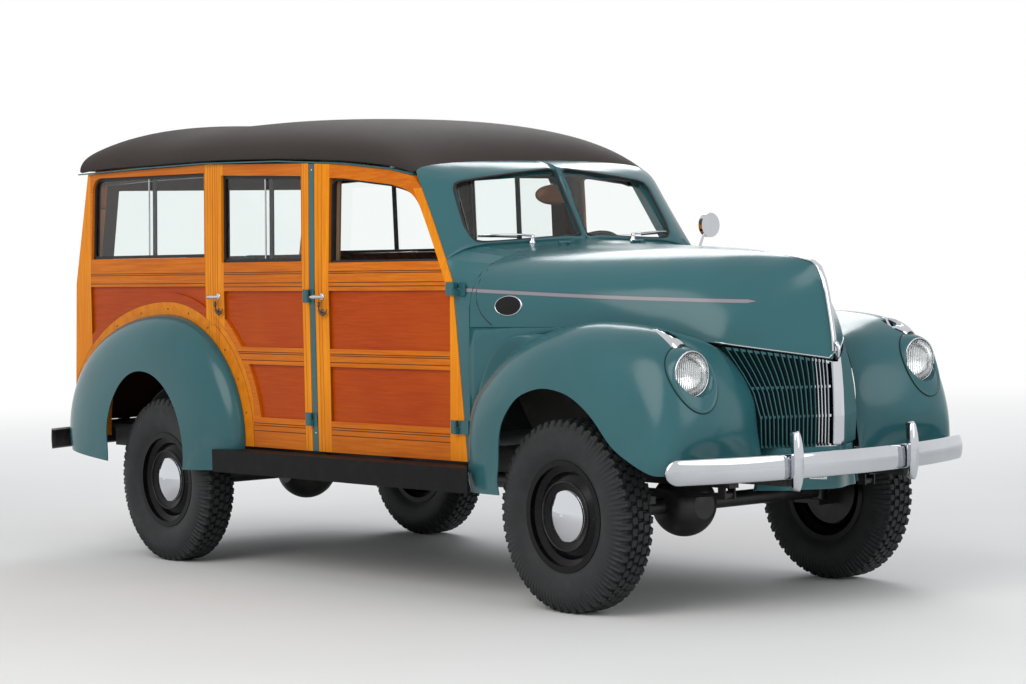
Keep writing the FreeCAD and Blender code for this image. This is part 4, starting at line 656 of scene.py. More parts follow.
def lathe(name, profile, origin, axis, material, body="body", slot=None, segments=40, closed=False):
    """Turns (radius, along) points about an axis through the origin."""
    axis = Vector(axis).normalized()
    first = axis.cross(Vector((0, 0, 1)))
    if first.length < 1e-4:
        first = Vector((1, 0, 0))
    first.normalize()
    second = axis.cross(first)
    rows = []
    for a in angles(segments):
        spoke = first * math.cos(a) + second * math.sin(a)
        rows.append([Vector(origin) + axis * t + spoke * r for r, t in profile])
    rows.append(rows[0])
    return weld(piece(name, *grid(rows, closed=closed), material, body, slot))


def level_with(edge, x, z):
    """Place across the car of an edge given as a number or as a function."""
    return edge(x, z) if callable(edge) else edge


def slab(name, outline, low, high, material, body="body", slot=None, bevel=1.0):
    """A flat piece: an outline of (x, z) points, between two half-width functions or numbers, in mm."""
    rows = [[(x, level_with(edge, x, z), z) for x, z in outline] for edge in (low, high)]
    return piece(name, *grid(rows, closed=True, capped=True), material, body, slot, smooth=False, bevel=bevel)


def plate(name, outline, stations, material, *options, **more):
    """A flat piece across the car: an outline of (y, z) points, between two stations."""
    rows = [[(x, y, z) for y, z in outline] for x in stations]
    return piece(name, *grid(rows, closed=True, capped=True), material, *options, smooth=False, **more)


def ring(name, outer, inner, low, high, material, body="body", slot=None, bevel=0.8):
    """A flat frame between two outlines of the same number of (x, z) points."""
    rows = [[(x, level_with(edge, x, z), z) for x, z in outline]
            for outline, edge in ((outer, low), (outer, high), (inner, high), (inner, low), (outer, low))]
    return piece(name, *grid(rows, closed=True), material, body, slot, smooth=False, bevel=bevel)


def inset(outline, margin):
    """The outline of (x, z) points moved inwards by the margin."""
    count = len(outline)
    area = sum(outline[i][0] * outline[(i + 1) % count][1] - outline[(i + 1) % count][0] * outline[i][1]
               for i in range(count))
    turn = 1 if area > 0 else -1
    moved = []
    for i, (x, z) in enumerate(outline):
        before, after = Vector(outline[i - 1]), Vector(outline[(i + 1) % count])
        a, b = (Vector((x, z)) - before).normalized(), (after - Vector((x, z))).normalized()
        na, nb = Vector((-a.y, a.x)) * turn, Vector((-b.y, b.x)) * turn
        n = (na + nb).normalized()
        moved.append((x + n.x * margin / max(0.3, n.dot(na)), z + n.y * margin / max(0.3, n.dot(na))))
    return moved


def rounded_outline(corners, radius, steps=6):
    """The (x, z) corners, each rounded: radius is one number or one per corner."""
    count = len(corners)
    radii = radius if isinstance(radius, (list, tuple)) else [radius] * count
    made = []
    for i, corner in enumerate(corners):
        p, a, b = Vector(corner), Vector(corners[i - 1]), Vector(corners[(i + 1) % count])
        u, w = (a - p).normalized(), (b - p).normalized()
        half = max(0.05, u.angle(w) / 2)
        reach = min(radii[i] / math.tan(half), (a - p).length * 0.49, (b - p).length * 0.49)
        start, stop = p + u * reach, p + w * reach
        for k in range(steps + 1):
            t = k / steps
            made.append(tuple(start * (1 - t) ** 2 + p * 2 * t * (1 - t) + stop * t ** 2))
    return made


def angles(parts, whole=math.tau, count=None):
    """Angles that split the whole into equal parts, from nought."""
    return [whole * k / parts for k in range(count or parts)]


def hoop(radius, along, thick, count):
    """A round section as (radius, along) points."""
    return [(radius + thick * math.cos(a), along + thick * math.sin(a)) for a in angles(count)]


def powered(value, power):
    """The value's size to a power, with its own sign."""
    return math.copysign(abs(value) ** power, value)


def sunk(sign, cut):
    """The body's outer face on one side, moved inwards by the cut."""
    return lambda x, z: sign * (side_half(x, z) - cut)


def oblong(x0, x1, z0, z1):
    return [(x0, z0), (x1, z0), (x1, z1), (x0, z1)]


class Surface:
    """Where straight lines meet a CAD node, in mm."""

    def __init__(self, node):
        data = NODES[node].data
        self.tree = BVHTree.FromPolygons([v.co * 1000 for v in data.vertices],
                                         [tuple(f.vertices) for f in data.polygons])

    def hit(self, start, direction):
        found = self.tree.ray_cast(Vector(start), Vector(direction))
        return found[0], found[1]

    def top(self, x, y):
        return self.hit((x, y, 3000), (0, 0, -1))[0]

    def front(self, y, z):
        return self.hit((4000, y, z), (-1, 0, 0))[0]

    def side(self, x, z, sign):
        return self.hit((x, sign * 2000, z), (0, -sign, 0))[0]


HOOD, FENDERS, COWL = Surface("hood"), Surface("front_fenders"), Surface("cowl")


def make_tyres():
    """Cross-country tyres: staggered tread blocks and ribbed shoulders."""
    pitches, parts, depth, shoulder, notch = 54, 8, 13.5, 352, 4.5
    # radius, place across, row of blocks (0 for none, 3 outermost) and share of the shoulder ribs
    half_profile = [(206, 62, 0, 0), (223, 66, 0, 0), (240, 78, 0, 0), (262, 85, 0, 0), (285, 88.5, 0, 0),
                    (308, 89.4, 0, 0.1), (322, 88.4, 0, 0.5), (336, 85.5, 0, 0.8), (352, 79, 0, 1),
                    (366, 72, 3, 1), (374, 68, 3, 0.6), (378.5, 64, 3, 0.3), (379.6, 58, 3, 0),
                    (379.8, 46, 3, 0),
                    (366, 45, 0, 0), (366, 41, 0, 0), (379.8, 40, 2, 0), (379.8, 17.5, 2, 0),
                    (366, 16.5, 0, 0), (366, 12.5, 0, 0), (379.8, 11.5, 1, 0), (379.8, 0, 1, 0)]
    profile = [(r, -w, row, rib) for r, w, row, rib in half_profile]
    profile += [(r, w, row and row + 3, rib) for r, w, row, rib in half_profile[-2::-1]]
    stagger = {1: 0, 2: 4, 3: 0, 4: 0, 5: 2, 6: 5}
    for end, axle, track in AXLES:
        for side, sign in SIDES:
            rows = []
            for i, angle in enumerate(angles(pitches * parts)):
                row = []
                for radius, width, block, rib in profile:
                    part = (i + stagger.get(block, 0)) % parts
                    gap = part in ((0, 1) if block in (1, 2, 4, 5) else (0, 1, 2))
                    r, w = radius, width
                    if block and gap:
                        r -= depth if block in (1, 2, 4, 5) else min(depth, (radius - shoulder) * 0.6)
                    if rib:
                        share = 0.0 if (i + stagger.get(6 if width > 0 else 3, 0)) % 4 in (0, 1) else 1.0
                        w -= math.copysign(notch * rib * (1 - share), width)
                    row.append((axle + r * math.cos(angle), track / 2 * sign + w, HUB + r * math.sin(angle)))
                rows.append(row)
            rows.append(rows[0])
            name = "%s_%s" % (end, side)
            made = weld(piece("tread_" + name, *grid(rows), TYRE, "wheel_" + name, smooth=False))
            for face in made.data.polygons:
                away = math.hypot(face.center.x - axle * MM, face.center.z - HUB * MM)
                face.use_smooth = away < 0.33
            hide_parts("tyre_" + name)


def make_wheel_trim():
    """Two rings pressed in each wheel, and the valve."""
    for end, axle, track in AXLES:
        for side, sign in SIDES:
            name = "%s_%s" % (end, side)
            ride, face = "wheel_" + name, track / 2 * sign + sign * 42
            for radius, out, thick in ((136, 12, 5), (214, 23.5, 3.5)):
                lathe("wheel_ring_%d_%s" % (radius, name), hoop(radius, out, thick, 10), (axle, face, HUB),
                      (0, sign, 0), HARD_BLACK, ride, slot="wheel_paint", segments=64, closed=True)
            stem = [(axle + 178, face + sign * 4, HUB), (axle + 181, face + sign * 24, HUB)]
            sweep("valve_" + name, stem, [4.5, 3.5], TRIM, ride, slot="tyre_rubber", sides=8)


def make_lamp(side, sign):
    """A round lens in a bright rim, in an egg-shaped bezel on the fender with a dark line of painted shade
    round its seam, over its bowl and bulb.
    """
    centre = x0, y0, middle = 2171.5, sign * 633.0, 941.0
    outer, inner = [], []
    for a in angles(48):
        reach_z = 112 if math.sin(a) > 0 else 142
        py, pz = y0 + 106 * math.cos(a), middle - 6 + reach_z * math.sin(a)
        found, facing = FENDERS.hit((4000, py, pz), (-1, 0, 0))
        outer.append(found + facing * 1.5 if found else Vector((2120, py, pz)))
        inner.append(Vector((x0 - 1, y0 + 85 * math.cos(a), middle + 88 * math.sin(a))))
    rows = []
    for t, lift in ((0, -4), (0.03, 4), (0.12, 9), (0.4, 13), (0.7, 12), (0.92, 6), (1, 0)):
        rows.append([o.lerp(i, t) + Vector((lift, 0, 0)) for o, i in zip(outer, inner)])
    rows.append([i + Vector((-30, 0, 0)) for i in inner])
    piece("lamp_bezel_" + side, *grid(rows, closed=True), STEEL)
    # a dark line round the bezel: painted shade in its seam
    sweep("lamp_seam_shadow_" + side, outer + outer[:2], 2.6, PAINTED_SHADE_TEAL, slot="steel_paint", sides=6)
    ahead = (1, 0, 0)
    lathe("lamp_rim_" + side, hoop(86, 2, 3, 12), centre, ahead, CHROME, segments=56, closed=True)
    dome = [(85 * math.sin(a), 16 * (math.cos(a) - 1) + 15) for a in angles(10, math.pi / 2, 11)]
    lens = lathe("lamp_lens_" + side, dome + [(83, -4), (0, 8)], centre, ahead, LENS, segments=56)
    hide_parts("lamp_" + side)
    bowl = [(0, -70), (20, -69), (45, -60), (66, -42), (78, -20), (83, -2), (85, -2), (80, -26), (60, -62),
            (0, -78)]
    lathe("lamp_bowl_" + side, bowl, centre, ahead, REFLECTOR, segments=48)
    bulb = [(0, -18), (7, -20), (9, -30), (7, -44), (10, -66), (0, -66)]
    lathe("lamp_bulb_" + side, bulb, centre, ahead, PANE, slot="lamp_glass", segments=20)


def make_parking_lamp(side, sign):
    """A bright fairing on top of the fender, with an amber lens at its front."""
    middle = sign * 640
    rows = []
    for ahead, wide, high in ((-160, 2, 1), (-135, 13, 8), (-100, 22, 16), (-60, 28, 22), (-25, 30, 26),
                              (-8, 29, 27), (-2, 26, 24)):
        x = 2127.5 + ahead
        row = []
        for a in angles(12, math.pi, 13):
            y = middle + wide * math.cos(a)
            ground = FENDERS.top(x, y)
            row.append((x, y, (ground.z if ground else 1060) - 1.5 + high * math.sin(a) ** 0.8))
        rows.append(row)
    piece("parking_lamp_body_" + side, *grid(rows), CHROME)
    profile = [(0, 9), (10, 8), (17, 5), (21, 0), (22, -8), (0, -8)]
    foot = (2126, middle, FENDERS.top(2126, middle).z + 2)
    lens = lathe("parking_lens_" + side, profile, foot, (1, 0, 0.25), AMBER, segments=32)
    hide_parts("parking_lamp_" + side)


def make_hood_trim():
    """The bright strip down the nose."""
    path = [HOOD.top(x, 0) for x in (1935, 1985, 2035, 2085, 2130, 2170, 2205, 2235)]
    path += [HOOD.front(0, z) for z in (1330, 1280, 1230, 1170, 1110, 1060, 1020, 1004)]
    path = [p for p in path if p]
    rows = []
    for i, point in enumerate(path):
        ahead = (path[min(i + 1, len(path) - 1)] - path[max(i - 1, 0)]).normalized()
        out = Vector((0, -1, 0)).cross(ahead)
        out = out if out.x + out.z > 0 else -out
        wide = min(13.0, 3 + i * 2.2)
        rise = min(5.5, 1.5 + i * 1.0)
        rows.append([point + Vector((0, wide * math.cos(a), 0)) + out * (rise * math.sin(a) - 1.2)
                     for a in angles(8, math.pi, 9)])
    piece("nose_strip", *grid(rows), CHROME, "hood")


def make_hood_edge():
    """The bright line along the hood's lower front edge and the handle below the nose."""
    path = []
    for k in range(33):
        y = -352 + 22 * k
        z = 960.0
        while z < 1200 and not HOOD.front(y, z):
            z += 1.5
        found = HOOD.front(y, z + 3)
        if found:
            path.append(found + Vector((1.0, 0, 0)))
    sweep("hood_edge_strip", path, 3.0, CHROME, "hood", sides=8)
    nose = HOOD.front(0, 1018)
    if nose:
        handle = [nose + Vector((d, 0, z))
                  for d, z in ((-4, 22), (12, 14), (20, 0), (21, -18), (18, -34), (14, -40))]
        sweep("hood_handle", handle, [9, 9, 8, 7, 6, 3], CHROME, "hood", sides=12, up=(0, 1, 0))


def make_tee_handle(name, ride, foot, out, along, edge, bar):
    """A round plate, a stem that stands out and a bar of (distance, radius) points across its tip."""
    tip = [a + b for a, b in zip(foot, out)]
    inner, outer, drop = edge
    lathe("handle_plate_" + name, [(0, 4), (inner, 4), (outer, drop), (17, -1), (0, -1)], foot, out,
          CHROME, ride, segments=28)
    sweep("handle_stem_" + name, [foot, tip], 6, CHROME, ride, sides=12)
    path = [[a + b * reach for a, b in zip(tip, along)] for reach, radius in bar]
    sweep("handle_bar_" + name, path, [radius for reach, radius in bar], CHROME, ride, sides=12)


def make_tail():
    """Handles of both gates and the bare number plate."""
    bar = ((-52, 3), (-46, 6), (-20, 8), (20, 8), (46, 6), (52, 3))
    for name, z in (("tailgate", 1262), ("liftgate", 1352)):
        make_tee_handle(name, name, (rear_face(z), 0, z), (-30, 0, 0), (0, 1, 0), (12, 16, 2), bar)
    x = rear_face(800)
    outline = rounded_outline([(-160, 742), (160, 742), (160, 860), (-160, 860)], 12)
    plate("number_plate", outline, (x - 9, x - 11), PLATED, "tailgate", bevel=0.8)
    bolt = [(0, 14), (6, 13), (8, 10), (8, -1), (0, -1)]
    for k, (y, z) in enumerate(((-110, 840), (110, 840), (-110, 762), (110, 762))):
        lathe("plate_bolt_%d" % k, bolt, (rear_face(z), y, z), (-1, 0, 0), CHROME, "tailgate", segments=14)


def make_bumper():
    """Front bumper blade with rounded ends, its two guards and the small slotted plate under it, whose slots
    are black pieces of painted shade.
    """
    radius, tip, half, high, level, rounding = 1983.0, 2417.0, 831.0, 49.0, 580, 46.0
    rows = []
    for k in range(81):
        share = -1 + 2 * k / 80
        reach = half * math.copysign(1 - (1 - abs(share)) ** 1.35, share)
        left = max(0.0, half - abs(reach))
        near = min(left, rounding) / rounding
        tall = high * min(1.0, math.sqrt(max(0.0015, 1 - (1 - near) ** 2)))
        swing = math.asin(reach / radius)
        row = []
        for a in angles(20):
            r = radius - 11 + 11 * powered(math.cos(a), 0.8) - 9 * (1 - near) ** 2
            z = tall * powered(math.sin(a), 0.9)
            row.append((tip - radius + r * math.cos(swing), r * math.sin(swing), level + z))
        rows.append(row)
    blade = piece("bumper_blade", *grid(rows, closed=True, capped=True), CHROME)
    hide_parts("front_bumper")
    guard_y, guard_z, guard_half = 321, 602, 114.5
    for side, sign in SIDES:
        rows = []
        for k in range(25):
            t = -1 + 2 * k / 24
            ends = math.sqrt(max(0.02, 1 - max(0.0, abs(t) - 0.93) ** 2 / 0.0049))
            wide = 23 * (1 - 0.50 * abs(t) ** 3) * ends
            face = 2434.5 - 13 * abs(t) ** 2.2
            rows.append([(face - 21 + 21 * powered(math.cos(a), 0.65),
                          sign * guard_y + wide * powered(math.sin(a), 0.8), guard_z + guard_half * t)
                         for a in angles(20)])
        piece("bumper_guard_" + side, *grid(rows, closed=True, capped=True), CHROME)
    plate("slotted_plate", ((-170, 519), (-166, 547), (-68, 541), (-74, 511)), (2326, 2321), PLATED,
          bevel=1.0)
    # black pieces in the four slots: painted shade in the openings
    for k in range(4):
        y = -142 + 15 * k
        opening = [(y + a, z + (y + 120) * -0.06) for a, z in ((-2.5, 521), (2.5, 521), (5, 539), (0, 539))]
        plate("plate_slot_shade_%d" % k, opening, (2327.5, 2325), TRIM, slot="bright_metal")


def make_cowl_sides():
    """The panel between the hood's side and the fender, the curved seam drawn as a black rod of painted
    shade, and the bare oval plate.
    """
    edge = ((950, 728, 700), (985, 718, 820), (1030, 713, 905), (1097, 703, 985), (1177, 676, 1042),
            (1257, 646, 1082), (1340, 622, 1090), (1440, 592, 1092))
    lip = ((950, 730), (1175, 676), (1390, 618), (1450, 602))
    curve = ((972, 1345), (975, 1300), (979, 1255), (992, 1210), (1015, 1168), (1042, 1140), (1070, 1120),
             (1100, 1106))
    oval_x, oval_z = 1150, 1198
    for side, sign in SIDES:
        rows = []
        for x, y, z in edge:
            top = Vector((x, sign * (interpolate(lip, x) - 5), 1116))
            foot = Vector((x, sign * y, z - 6))
            rows.append([foot.lerp(top, t) + Vector((0, sign * 5 * math.sin(math.pi * t), 0)) for t in
                         (0, 0.2, 0.4, 0.6, 0.8, 1)])
        made = piece("cowl_side_%s" % side, *grid(rows), STEEL)
        thick = made.modifiers.new("thick", "SOLIDIFY")
        thick.thickness, thick.offset = 0.003, 0.0
        # a black rod along the hood's curved seam: painted shade in the gap
        path = [HOOD.side(x, z, sign) for x, z in curve]
        sweep("hood_seam_shadow_" + side, [p for p in path if p], 2.0, TRIM, "hood", slot="steel_paint", sides=6)
        oval, rim = ([HOOD.side(oval_x + 62 * reach * math.cos(a), oval_z + 38 * reach * math.sin(a), sign)
                      + Vector((0, sign * 1.5, 0)) for a in angles(40)] for reach in (1.0, 1.07))
        centre = HOOD.side(oval_x, oval_z, sign) + Vector((0, sign * 4.5, 0))
        rows = [[p.lerp(centre, t) + Vector((0, sign * 2.0, 0)) for p in oval] for t in (0, 0.3, 0.6, 0.9, 1)]
        piece("oval_plate_" + side, *grid(rows, closed=True), HARD_BLACK, "hood", slot="bright_metal")
        rows = [[p + Vector((0, sign * lift, 0)) for p in edge_points] for edge_points, lift in
                ((rim, -2.5), (rim, 1.5), (oval, 3.0), (oval, -2.0))]
        piece("oval_rim_" + side, *grid(rows, closed=True), CHROME, "hood")


def resampled(points, count):
    """Points evenly along a polyline."""
    points = [Vector(p) for p in points]
    lengths = [0.0]
    for a, b in zip(points, points[1:]):
        lengths.append(lengths[-1] + (b - a).length)
    made = []
    for k in range(count):
        want = lengths[-1] * k / (count - 1)
        i = max(j for j in range(len(points) - 1) if lengths[j] <= want + 1e-9)
        step = lengths[i + 1] - lengths[i]
        made.append(points[i].lerp(points[i + 1], 0 if step < 1e-9 else (want - lengths[i]) / step))
    return made


def roof_lip(y):
    return 1764 + 44 * max(0.0, 1 - (abs(y) / 652) ** 2.2) ** (1 / 2.2)


def pillar_edge(z):
    x = seam(z) + 2.6
    return (x, side_half(x, z) + 1.5, z)


def make_windshield_surround():
    """Rounded steel surround of the two windshield panes, with their black rubber."""
    # the middle bar's width, and where and over what width the steel turns to face sideways
    narrow, pillar, turning = 60, 560, 120
    # foot, outer side, top and middle of the opening, and the surround's outer edge beside each
    opening = (
        ((840, 18, 1480), (838, 34, 1475), (828, 138, 1470), (812, 274, 1463), (795, 423, 1456),
         (784, 505, 1454), (777, 540, 1460)),
        ((777, 540, 1460), (768, 560, 1480), (739, 570, 1524), (686, 560, 1613), (650, 551, 1676),
         (637, 534, 1702)),
        ((637, 534, 1702), (636, 500, 1713), (643, 370, 1731), (655, 196, 1750), (668, 52, 1763)),
        ((668, 52, 1763), (674, 26, 1760), (686, 16, 1744), (756, 14, 1623), (827, 15, 1502),
         (840, 18, 1480)),
    )
    outside = (
        ((866, 0, 1463), (844, 138, 1457), (824, 274, 1450), (801, 423, 1443), (785, 540, 1437),
         (781, 620, 1420), (787, 690, 1394)),
        (*(pillar_edge(z) for z in (1388, 1440, 1500, 1560, 1620, 1680, 1722)), (545, 660, 1748)),
        ((545, 660, 1748), (521, 652, 1766),
         *((517, y, roof_lip(y) + 1.5) for y in (630, 560, 450, 300, 150, 0))),
        ((517, 0, 1809), (600, 0, 1797), (655, 0, 1786), (690, 0, 1768), (756, 0, 1650), (820, 0, 1538),
         (866, 0, 1463)),
    )
    counts = (20, 20, 22, 20)
    for side, sign in SIDES:
        inner, outer = [], []
        for a, b, count in zip(opening, outside, counts):
            inner += resampled(a, count)[:-1]
            outer += resampled(b, count)[:-1]
        for points in (inner, outer):
            for p in points:
                p.y *= sign
        out, sideways = Vector((0.84, 0.16 * sign, 0.52)), Vector((0.35, 0.9 * sign, 0.2))
        rows = [[p - out * 14 for p in inner]]
        for t, lift in ((0, 3), (0.03, 7), (0.10, 10.5), (0.25, 12.5), (0.45, 12), (0.65, 10), (0.85, 5),
                        (1, 0)):
            row = []
            for p, q in zip(inner, outer):
                span = (q - p).length
                share = t if t > 0.3 else t * min(1.0, 110 / max(span, 1))
                spot = p.lerp(q, share)
                facing = out.lerp(sideways, max(0.0, min(1.0, (abs(spot.y) - pillar) / turning)))
                flat = 0.25 if max(abs(p.y), abs(q.y), span) < narrow else 1.0
                row.append(spot + facing.normalized() * lift * flat)
            rows.append(row)
        piece("windshield_surround_" + side, *grid(rows, closed=True), STEEL, subdivide=1)
        bead = [p + out * 4.5 for p in inner]
        loop = bead + bead[:2]
        sweep("windshield_rubber_" + side, loop, 6.5, TRIM, sides=8)


def window_trim(name, outline, body, split_at, low, high):
    """Black channels round a window and the bars where its two panes meet."""
    for side, sign in SIDES:
        ride = body.replace("SIDE", side)
        for part, near, far in (("channel", 13, 19.5), ("liner", 27, 40)):
            ring("%s_%s_%s" % (name, part, side), inset(outline, 0.6), inset(outline, 15), sunk(sign, near),
                 sunk(sign, far), TRIM, ride)
        for part, start, stop, near, far, material in (("bright_bar", -4, 4, 14, 19, PLATED),
                                                       ("dark_bar", 16, 44, 28, 36, TRIM)):
            slab("%s_%s_%s" % (name, part, side), oblong(split_at + start, split_at + stop, low, high),
                 sunk(sign, near), sunk(sign, far), material, ride, bevel=0.8)


def make_windows():
    """Channels, bars and guides of the side windows."""
    rear = rear_face(BELT) + 145
    quarter = rounded_outline([(rear, 1418), (-957.5, 1418), (-957.5, 1806), (rear + 12, 1812)],
                              [2, 2, 2, 70])
    window_trim("quarter", quarter, "body", -1455, 1432, 1795)
    corners = [(-812.5, 1392), (-183.5, 1392), (-183.5, eave(-127) - 71), (-812.5, eave(-882) - 71)]
    window_trim("rear_door", rounded_outline(corners, 2), "door_rear_SIDE", -480, 1406, 1768)
    front = [(14.5, 1384), (seam(1384) - 52, 1384), (seam(1676) - 52, 1676), (397.5, eave(397.5) - 78),
             (108, eave(108) - 78), (14.5, eave(14.5) - 78)]
    outline = rounded_outline(front, [2, 2, 200, 60, 60, 60])
    for side, sign in SIDES:
        ride = "door_front_" + side
        ring("front_door_channel_" + side, inset(outline, 0.6), inset(outline, 9), sunk(sign, 12),
             sunk(sign, 36), TRIM, ride)
        guide = oblong(26, 46, 1386, eave(46) - 90)
        guide[3] = (26, eave(26) - 90)
        slab("front_door_guide_" + side, guide, sunk(sign, 30), sunk(sign, 40), GUIDE, ride)


def make_handles():
    """T-handles and catches at each door's rear edge."""
    z, lock_z = 1236, 1172
    bar = ((-34, 4.5), (-28, 8), (-8, 9.5), (12, 9), (36, 7.5), (58, 6), (68, 4.5), (71, 2))
    for door, x in (("front", -36), ("rear", -845)):
        for side, sign in SIDES:
            name = "%s_%s" % (door, side)
            y, ride = sign * side_half(x, z), "door_" + name
            make_tee_handle(name, ride, (x, y, z), (0, sign * 38, 0), (1, 0, 0), (11, 15, 2.5), bar)
            lathe("lock_plate_" + name, [(0, 5), (8, 5), (12, 2), (13, -1), (0, -1)],
                  (x + 4, sign * side_half(x, lock_z), lock_z), (0, sign, 0), BRONZE, ride, segments=24)
            curve = ((-2, 1214), (-6, 1196), (-4, 1178), (6, 1164), (22, 1156), (40, 1164), (52, 1180))
            lever = [(x + d, y + sign * 14, level) for d, level in curve]
            sweep("catch_lever_" + name, lever, [5, 5.5, 6, 6, 5.5, 5, 3.5], BRONZE, ride, sides=10)


def make_screws():
    """Screw heads along the wooden arch over each rear fender and up the uprights."""
    arch = []
    for k in range(11):
        a = math.radians(12 + 15.6 * k)
        reach = (ARCH_REACH if a < math.pi / 2 else ARCH_TAIL) + 30
        arch.append((ARCH_X + reach * math.cos(a), ARCH_Z + (ARCH_RISE + 30) * math.sin(a)))
    heads = (("screw", arch, 0, 1.4, 1.0, BRONZE),
             ("post_screw", ((-104, 640), (-104, 1236), (-104, 1790)), 1, 1.6, 1.2, CHROME))
    for side, sign in SIDES:
        for kind, spots, cut, crown, shoulder, material in heads:
            for i, (x, z) in enumerate(spots):
                lathe("%s_%s_%d" % (kind, side, i), [(0, crown), (4, shoulder), (5.4, -0.6), (0, -0.6)],
                      (x, sunk(sign, cut)(x, z), z), (0, sign, 0), material, segments=14)


def make_cowl_trim():
    """Wipers and the cabin mirror."""
    post = [(0, 34), (7, 33), (9, 26), (9, 12), (15, 4), (17, -3), (0, -3)]
    for side, sign in SIDES:
        px, py = 838, sign * 285
        ground = COWL.top(px, py)
        base = ground.z if ground else 1455
        lathe("wiper_post_" + side, post, (px, py, base), (0.25, 0, 1), CHROME, segments=24)
        arm, blade = ([(px + a, py + sign * b, base + c) for a, b, c in path] for path in (
            ((6, 0, 28), (4, 60, 34), (-14, 150, 36), (-40, 235, 36)),
            ((-6, 60, 24), (-26, 160, 28), (-52, 250, 32))))
        sweep("wiper_arm_" + side, arm, [4.5, 4, 3.5, 3], CHROME, sides=8)
        sweep("wiper_blade_" + side, blade, 4.2, TRIM, sides=6)
    height, squash = 1655, 0.42
    disc = [(0, 10), (60, 8), (92, 4), (104, 0), (92, -6), (60, -10), (0, -12)]
    wood = plain_wood("mirror_back", "y", (0.20, 0.085, 0.045), (0.12, 0.05, 0.03))
    mirror = lathe("cabin_mirror", disc, (650, 0, height), (1, 0, 0), wood, slot="mirror_metal", segments=36)
    for vertex in mirror.data.vertices:
        vertex.co.z = height * MM + (vertex.co.z - height * MM) * squash
    stem = [(655, 0, 1660), (640, 0, 1700), (618, 0, 1736)]
    sweep("cabin_mirror_stem", stem, 5, CHROME, slot="mirror_metal", sides=10)


def make_seats():
    """Three stuffed benches, swelled by a cloth simulation."""
    spots = (("front", 105, 600), ("middle", -635, 560), ("rear", -1217.5, 520))
    for name, spot, half in spots:
        # centre, half sizes and tilt in degrees
        cushion = ((spot + 25, 0, 878), (232, half - 14, 56), 0.0)
        back = ((spot - 296, 0, 1186), (44, half - 14, 262), -12.0)
        for part, (centre, size, tilt) in (("cushion", cushion), ("back", back)):
            work = bmesh.new()
            bmesh.ops.create_cube(work, size=2.0)
            for vertex in work.verts:
                vertex.co = Vector(a * b * MM for a, b in zip(vertex.co, size))
            bmesh.ops.bevel(work, geom=work.edges[:], offset=0.030, segments=3, affect="EDGES")
            turn = Matrix.Rotation(math.radians(tilt), 4, "Y")
            bmesh.ops.transform(work, matrix=Matrix.Translation(Vector(centre) * MM) @ turn, verts=work.verts)
            data = bpy.data.meshes.new("seat_%s_%s" % (name, part))
            work.to_mesh(data)
            work.free()
            pad = place("seat_%s_%s" % (name, part), data)
            swell(pad)
            data = pad.data
            data.materials.append(HIDE)
            for face in data.polygons:
                face.use_smooth = True
            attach(pad, "body")
        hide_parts("seat_" + name)


def swell(pad, cap=0.022, frames=20):
    """Stuffs the pad: pressure from inside, with how far a point may move capped, in metres."""
    bpy.context.view_layer.objects.active = pad
    remesh = pad.modifiers.new("remesh", "REMESH")
    remesh.mode, remesh.voxel_size = "VOXEL", 0.016
    bpy.ops.object.modifier_apply(modifier="remesh")
    rest = [v.co.copy() for v in pad.data.vertices]
    cloth = pad.modifiers.new("cloth", "CLOTH")
    cloth.settings.use_pressure = True
    cloth.settings.uniform_pressure_force = 4.0
    cloth.settings.effector_weights.gravity = 0.0
    cloth.point_cache.frame_start, cloth.point_cache.frame_end = 1, frames
    for step in range(1, frames + 1):
        bpy.context.scene.frame_set(step)
    graph = bpy.context.evaluated_depsgraph_get()
    posed = pad.evaluated_get(graph).data
    moved = [v.co.copy() for v in posed.vertices]
    pad.modifiers.remove(cloth)
    bpy.context.scene.frame_set(1)
    for vertex, old, new in zip(pad.data.vertices, rest, moved):
        step = new - old
        if step.length > cap:
            step = step * (cap / step.length)
        vertex.co = old + step
    smooth = pad.modifiers.new("smooth", "SUBSURF")
    smooth.levels = smooth.render_levels = 1


def make_cabin():
    """Dials of the dashboard."""
    for i, (y, radius) in enumerate(((250, 34), (350, 58), (450, 34))):
        centre, facing = (802, y, 1238), (-0.96, 0, 0.28)
        rim = [(radius, 0), (radius + 3, 3), (radius + 6, 2), (radius + 6, -3), (radius, -3)]
        lathe("dial_rim_%d" % i, rim, centre, facing, CHROME, segments=36, closed=True)
        lathe("dial_face_%d" % i, [(0, 1), (radius, 1), (radius, -1), (0, -1)], centre, facing, HARD_BLACK,
              slot="steering_plastic", segments=36)


make_tyres()
make_wheel_trim()
for side, sign in SIDES:
    make_lamp(side, sign)
    make_parking_lamp(side, sign)
make_hood_trim()
make_hood_edge()
make_bumper()
make_tail()
make_cowl_sides()
make_windshield_surround()
make_windows()
make_handles()
make_screws()
make_cowl_trim()
make_seats()
make_cabin()


# ---------------------------------------------------------------- floor, light and camera

def clear_view(tree):
    """1 for rays from the camera, from a mirror or through glass."""
    rays = tree.nodes.new("ShaderNodeLightPath").outputs
    seen = rays["Is Camera Ray"]
    for other in ("Is Glossy Ray", "Is Transmission Ray"):
        node = tree.nodes.new("ShaderNodeMath")
        node.operation = "MAXIMUM"
        tree.links.new(seen, node.inputs[0])
        tree.links.new(rays[other], node.inputs[1])
        seen = node.outputs[0]
    return seen


